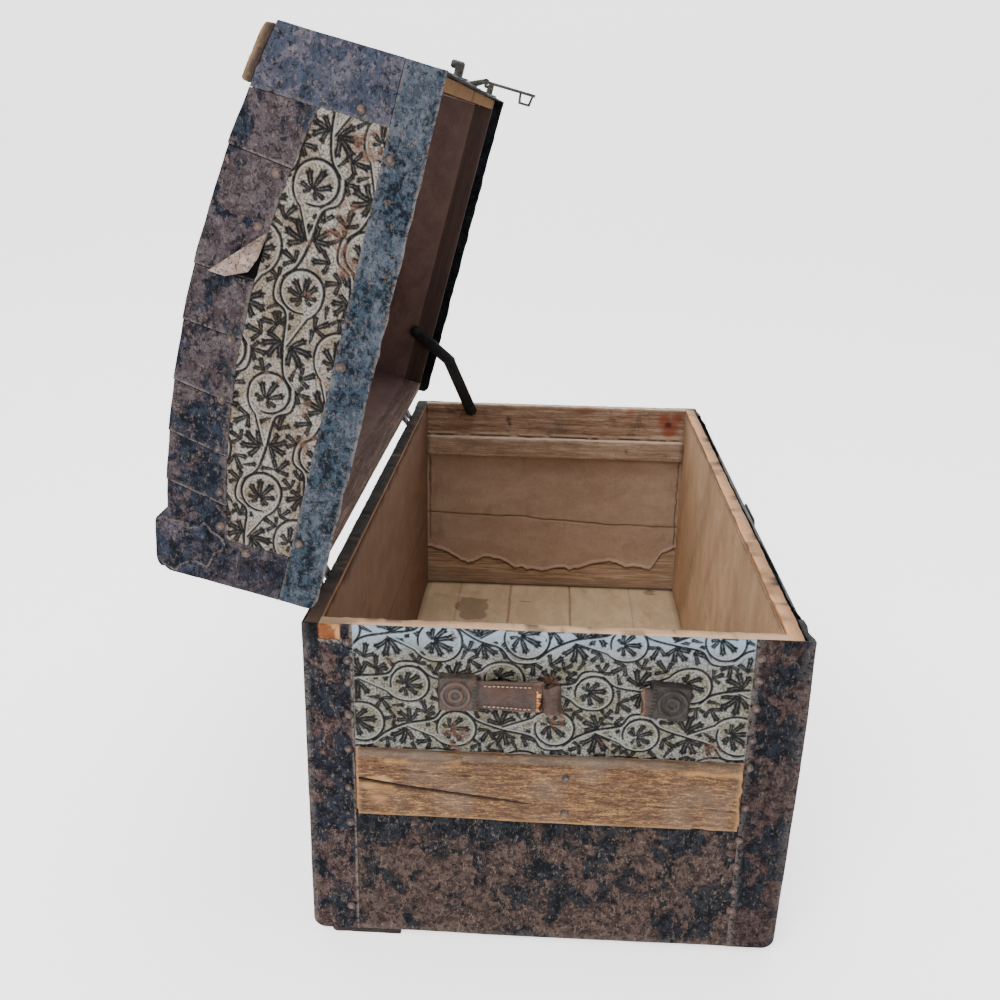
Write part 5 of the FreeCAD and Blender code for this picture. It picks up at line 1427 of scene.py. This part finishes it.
# ------------------------------------------------------------------ nails
def nail_heads(name, found, body, node):
    """Domed nail heads on both ends, each a little different, with a painted highlight on top: found has the side and
    the place of each.
    """
    rng = np.random.RandomState(17)
    count = 16
    points, faces, high = [], [], []
    for side, x, y, z in found:
        r = NAIL_R * rng.uniform(0.9, 1.08)
        rise = rng.uniform(1.35, 1.8) * 1.6
        tilt = rng.uniform(-0.12, 0.12, 2)
        base = len(points)
        points.append((x + side * rise, y, z))
        # painted highlight: high is 1 at the top of the dome and falls off outwards
        high.append(1.0)
        for j, f in enumerate((0.3, 0.6, 0.85, 1.0, 1.0)):
            h = rise * math.sqrt(max(0.0, 1 - (f * 0.96) ** 2)) if j < 4 else -0.5
            for k in range(count):
                t = k * 2 * math.pi / count
                a, b = r * f * math.cos(t), r * f * math.sin(t)
                points.append((x + side * (h + tilt[0] * a * 0.5 + tilt[1] * b * 0.5), y + a, z + b))
                high.append(max(0.0, 0.9 - f))
        for k in range(count):
            i, n = base + 1 + k, base + 1 + (k + 1) % count
            faces.append([base, i, n] if side > 0 else [base, n, i])
            for j in range(0, 4 * count, count):
                faces.append([i + j, i + j + count, n + j + count, n + j][::side])
        faces.append([base + 1 + 4 * count + k for k in range(count)][::-side])
    piece(name, points, faces, NAIL_IRON, body, [node], {"high": high, "dark": 0.12}, angle=50)


def nails():
    back = [(184, 318), (184, 300), (184, 278), (184, 245), (185, 209), (186, 167), (186, 129), (187, 33)]
    front = [(-185, 318), (-185, 296), (-185, 268), (-184, 236), (-184, 207), (-184, 164), (-182, 129), (-181, 99),
             (-181, 72), (-181, 49)]
    found = []
    for side in (-1, 1):
        found += [(side, side * END_X, y, z) for y, z in back + front]
        found += [(side, side * 440.0, -17.0, 156.0), (side, side * (440.0 if side > 0 else 438.6), -17.0, 193.0)]
    nail_heads("chest_nail_heads", found, "chest", "chest_nails")
    places = [(-419, 44), (-356, 97), (-312, 103), (-217, 107), (-166, 104), (-122, 99),
              (-85, 90), (-54, 84), (-36, 57), (-220, 14), (-389, 14), (-58, 14)]
    found = [(side, side * LID_BAND_X, LID_Y + y, LID_Z + z) for side in (-1, 1) for y, z in places]
    nail_heads("lid_nail_heads", found, "lid", "lid_nails")


# ------------------------------------------------------------------ linings
def lining(name, points, axis, sign, material, height, attrs):
    """A sheet of lining paper on a board, as a grid of points that faces along an axis."""
    vertices, faces, ring = plate(points, facing(points, axis, sign), height, 0.45)
    attrs = {key: on_plate(value, ring) for key, value in attrs.items()}
    piece(name, vertices, faces, material, "chest", ["chest_lining"], attrs, angle=40)


TEAR_Y = (-209, -187, -169, -126, -101, -67, -34, -17, 8, 60, 86, 111, 140, 171, 202)
TEAR_Z = (99, 90, 61, 63, 73, 64, 54, 58, 50, 54, 71, 72, 60, 75, 89)


def end_lining(side):
    """Paper on an end, torn off its lower board along a ragged line, and cracked over the joint of its boards; painted
    shadow under the torn edge and painted shade towards the floor.
    """
    y, z = np.meshgrid(np.arange(-209.4, 209.5, 1.5), np.arange(21.8, 252.0, 1.5))
    p = xyz(side * INSIDE_X, y, z)
    torn = np.interp(y, TEAR_Y, TEAR_Z) + 3.5 * noise(xyz(y, 0, 7), 16, 101, 3) - z
    lower = 38 + 0.05 * y
    bare = smooth(-0.5, 0.5, torn)
    joint = np.interp(y, [-214, -81, 53, 162, 210], [136, 137, 146, 148, 150])
    crack = np.exp(-((z - joint + 1.5 * noise(p, 24, 103, 2)) / 1.1) ** 2)
    seam = np.exp(-((z - 206 - 0.03 * y) / 0.8) ** 2) * 0.3 * smooth(0.0, 0.5, noise(p, 60, 113, 2))
    curl = smooth(5.0, 0.8, np.abs(torn + 1.0)) * (torn < 0.6)
    gap = smooth(1.6, 0.3, np.abs(np.abs(y) - 204.5 - 2.5 * noise(p, 15, 114, 3))) * smooth(90, 110, z)
    height = 0.3 * noise(p, 34, 104, 3) + 0.7 - 0.7 * bare - 1.0 * crack - 0.3 * seam + 1.6 * curl - 0.8 * gap
    # dark crack, seam and corner gap; painted shadow: a dark line on the bare wood just under the torn edge
    dark = 0.8 * crack + 0.4 * seam + 0.7 * smooth(3.2, 0.4, np.abs(torn - 1.4)) * bare + 0.75 * gap
    # painted shade: darker towards the floor
    dark = dark + 0.22 * bare * smooth(2, -3, z - lower) + 0.5 * smooth(26, 22, z)
    attrs = {"bare": np.clip(0.75 * bare + 0.2 * bare * smooth(-1, 3, z - lower), 0, 1), "dark": np.clip(dark, 0, 1),
             "edge": 0.5 * curl * (1 - bare)}
    lining("lining_" + ENDS[side], p, 0, -side, PAPER, height, attrs)


def long_lining(side):
    """Paper on the front or back, marked where the wall's planks join, and with painted shade towards the floor."""
    x, z = np.meshgrid(np.arange(-414.6, 414.7, 3.0), np.arange(21.8, 333.0, 3.0))
    p = xyz(x, side * INSIDE_Y, z)
    if side > 0:
        line, depth = np.interp(x, [-414, 0, 341, 414], [158, 156, 143, 142]), 0.9
        ragged = smooth(322, 331, z + 5 * noise(p, 22, 115, 3))
    else:
        line, depth = 146 - 0.01 * x, 0.3
        ragged = smooth(327, 331, z + 2 * noise(p, 12, 115, 3)) * 0.7
    seam = np.exp(-((z - line - 0.8 * noise(p, 40, 116, 2)) / 1.7) ** 2) * depth
    cleat = (z > 250) & (z < 285) & (np.abs(x) > 401)
    height = np.where(cleat, 0.0, 0.6 * noise(p, 60, 105, 3) + 0.5 - 1.0 * seam)
    scuff = 0.7 * smooth(0.45, 0.8, noise(p * (0.6, 1, 1), 30, 106, 4))
    streaks = 0.24 * smooth(-0.2, 0.9, noise(xyz((x + 0.8 * z) * 0.9, (z - x) * 0.12, 0), 75, 117, 4)) * (side < 0)
    # painted shade: darker towards the floor
    dark = 0.5 * seam + 0.8 * ragged + 0.4 * smooth(30, 22, z) + streaks
    lining("lining_" + SIDES[side], p, 1, -side, PAPER_DARK if side > 0 else PAPER_PALE, height,
           {"dark": np.clip(dark, 0, 1), "edge": scuff * (side < 0)})


def floor_lining():
    """Paper on the floor, with the joints of its boards, a few worn patches and painted shade along the walls."""
    x, y = np.meshgrid(np.arange(-414.6, 414.7, 2.5), np.arange(-209.6, 209.7, 2.0))
    p = xyz(x, y, FLOOR_Z)
    seam = np.zeros_like(x)
    for at, strong in ((-134.0, 0.4), (-34.0, 1.0), (65.0, 1.0), (150.0, 0.4)):
        seam = np.maximum(seam, strong * np.exp(-((y - at - 0.8 * noise(p, 60, 107, 2)) / 1.3) ** 2))
    places = [(126, 318, 30), (124, 345, 24), (122, 285, 24), (38, 352, 12), (24, 352, 9), (-170, 400, 12)]
    patch = smooth(-0.16, -0.06, noise(p, 40, 108, 4)) * smooth(0.3, 0.45, near(y, x, places))
    # painted shade: darker along the walls, in the corners of the box
    darkening = 0.6 * smooth(404, 414, np.abs(x)) + 0.4 * smooth(198, 209, np.abs(y))
    height = 0.3 + 0.3 * noise(p, 30, 109, 2) - 1.1 * seam - 0.35 * patch
    lining("lining_floor", p, 2, 1, PAPER_FLOOR, height, {"dark": np.clip(0.75 * seam + 0.45 * patch + darkening, 0, 1)})


def lid_lining():
    points, faces, normals = cut("lid_lining", (12, 10, 10), 0.0, True)
    push = 0.25 * noise(points, 40, 111, 3)
    attrs = {"edge": 0.4 * smooth(2.5, 0, points[:, 2] - LID_Z - 26),
             "dark": 0.5 * smooth(0.4, 0.9, noise(points, 60, 112, 3))}
    piece("lid_lining_paper", points + normals * push[:, None], faces, PAPER_LID, "lid", ["lid_lining"],
          attrs, angle=40)


# ------------------------------------------------------------------ small hardware
def hardware():
    """Small hardware with eased edges: node, body, whether it is made in the lid's frame, material and bevel."""
    eased = [
        ("lock_plate", "chest", False, HARDWARE, 0.4), ("lock_case", "chest", False, HARDWARE, 0.5),
        ("lock_bolt", "lock_bolt", False, HARDWARE, 0.4), ("side_hasp_brackets", "chest", False, HARDWARE, 0.4),
        ("side_hasp_left", "side_hasp_left", False, HASP_IRON, 0.35),
        ("side_hasp_right", "side_hasp_right", False, HASP_IRON, 0.35),
        ("hinge_chest_leaves", "chest", False, HARDWARE, 0.3), ("hinge_lid_leaves", "lid", True, HARDWARE, 0.3),
        ("catch_studs", "lid", True, HASP_IRON, 0.4), ("hasp_leaf", "lid", True, HASP_IRON, 0.4),
        ("hasp_bar", "hasp", True, HASP_IRON, 0.35), ("stay_upper_arm", "stay_upper", False, STAY_BLACK, 0.4),
        ("stay_lower_arm", "stay_lower", False, STAY_BLACK, 0.4),
        ("stay_knee_rivet", "stay_lower", False, STAY_BLACK, 0.5),
        ("stay_chest_stud", "chest", False, STAY_BLACK, 0.5), ("stay_lid_stud", "lid", False, STAY_BLACK, 0.5),
    ]
    for node, body, lid, material, bevel in eased:
        points, faces, _ = cut(node, (0, 0, 0), bevel, lid)
        high = 0.5 * np.clip(0.7 + 0.5 * noise(points, 6, 121, 2), 0, 1)
        piece(node + "_eased", points, faces, material, body, [node], {"high": high}, lid, 35)


def plain_nodes():
    """Hidden or small CAD nodes keep their shape and get a material."""
    looks = {"floor_boards": WOOD_LONG, "lid_staves": WOOD_LID, "hasp_pin": HASP_IRON}
    for name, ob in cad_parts.items():
        if not ob.hide_render:
            ob.data.materials.clear()
            ob.data.materials.append(looks.get(name, HARDWARE))


# ------------------------------------------------------------------ stage
def stage():
    """Pale floor that curves up behind the object, and three soft lights."""
    bend, radius = 3.0, 3.0
    rows = [(-6 + k * (bend + 6) / 14.4, 0.0) for k in range(15)]
    for k in range(15, 25):
        a = (k / 24 - 0.6) / 0.4 * math.pi / 2
        rows.append((bend + radius * math.sin(a), radius * (1 - math.cos(a))))
    rows.append((6.0, 9.0))
    points = [(x, y, z) for x, z in rows for y in (-9.0, 9.0)]
    faces = [[2 * k, 2 * k + 1, 2 * k + 3, 2 * k + 2] for k in range(len(rows) - 1)]
    faces.append([len(points) + k for k in range(4)])
    points += [(40.0 * x, 40.0 * y, -0.003) for x, y in ((-1, -1), (1, -1), (1, 1), (-1, 1))]
    mesh = bpy.data.meshes.new("floor")
    mesh.from_pydata(points, [], faces)
    mesh.shade_smooth()
    p = Paint("backdrop", roughness=0.9, specular=0.1)
    p.set("Base Color", p.mix(p.noise(3, 2), (246, 246, 246), (250, 250, 250)))
    p.set("Emission Color", (255, 255, 255))
    p.set("Emission Strength", 1.5)
    mesh.materials.append(p.mat)
    floor = bpy.data.objects.new("floor", mesh)
    bpy.context.scene.collection.objects.link(floor)

    def lamp(name, at, target, size, power):
        data = bpy.data.lights.new(name, "AREA")
        data.shape = "RECTANGLE"
        data.size, data.size_y = size
        data.energy = power
        ob = bpy.data.objects.new(name, data)
        ob.location = at
        ob.rotation_euler = (Vector(target) - Vector(at)).to_track_quat("-Z", "Y").to_euler()
        bpy.context.scene.collection.objects.link(ob)

    lamp("key", (-2.9, 1.35, 2.5), (0.1, 0, 0.25), (1.5, 1.5), 112)
    lamp("top", (0.3, 1.5, 4.2), (0, 0, 0), (5.0, 4.6), 50)
    lamp("over", (-0.2, -0.1, 2.3), (0, 0, 0), (1.0, 1.0), 25)
    world = bpy.data.worlds.new("studio")
    world.use_nodes = True
    background = world.node_tree.nodes["Background"]
    background.inputs[0].default_value = (1.0, 1.0, 1.0, 1.0)
    background.inputs[1].default_value = 0.62
    bpy.context.scene.world = world


def camera():
    """The photograph's camera, solved from the chest's edges; its focal length is in pixels of the 1000 px frame."""
    yaw, pitch, roll = math.radians(2.61), math.radians(18.59), math.radians(1.08)
    focal, width = 1092.5, 1000.0
    forward = Vector((math.cos(yaw) * math.cos(pitch), math.sin(yaw) * math.cos(pitch), -math.sin(pitch)))
    right = Vector((math.sin(yaw), -math.cos(yaw), 0))
    up = right.cross(forward)
    r = math.cos(roll) * right + math.sin(roll) * up
    u = -math.sin(roll) * right + math.cos(roll) * up
    data = bpy.data.cameras.new("camera")
    data.sensor_width = 36.0
    data.lens = data.sensor_width * focal / width
    data.clip_start, data.clip_end = 0.05, 60
    ob = bpy.data.objects.new("camera", data)
    m = Matrix((r, u, -forward)).transposed().to_4x4()
    m.translation = Vector((-1.3121, 0.0087, 0.7546))
    ob.matrix_world = m
    bpy.context.scene.collection.objects.link(ob)
    bpy.context.scene.camera = ob


camera()
for way in (-1, 1):
    end_tin(way)
    long_tin(way)
    lid_end_tin(way)
    end_slat(way)
dome_tin()
lid_side_tin(-1)
lid_side_tin(1)
chest_bands()
lower_sheets()
lid_bands()
boards()
clamp("slat_clamps", "chest", (3, 5, 5), IRON_BODY)
clamp("lid_slat_clamps", "lid", (3, 2.5, 2.5), IRON_CORNER)
corner_plate()
handle_caps()
leather()
nails()
for way in (1, -1):
    end_lining(way)
for way in (1, -1):
    long_lining(way)
floor_lining()
lid_lining()
hardware()
plain_nodes()
stage()
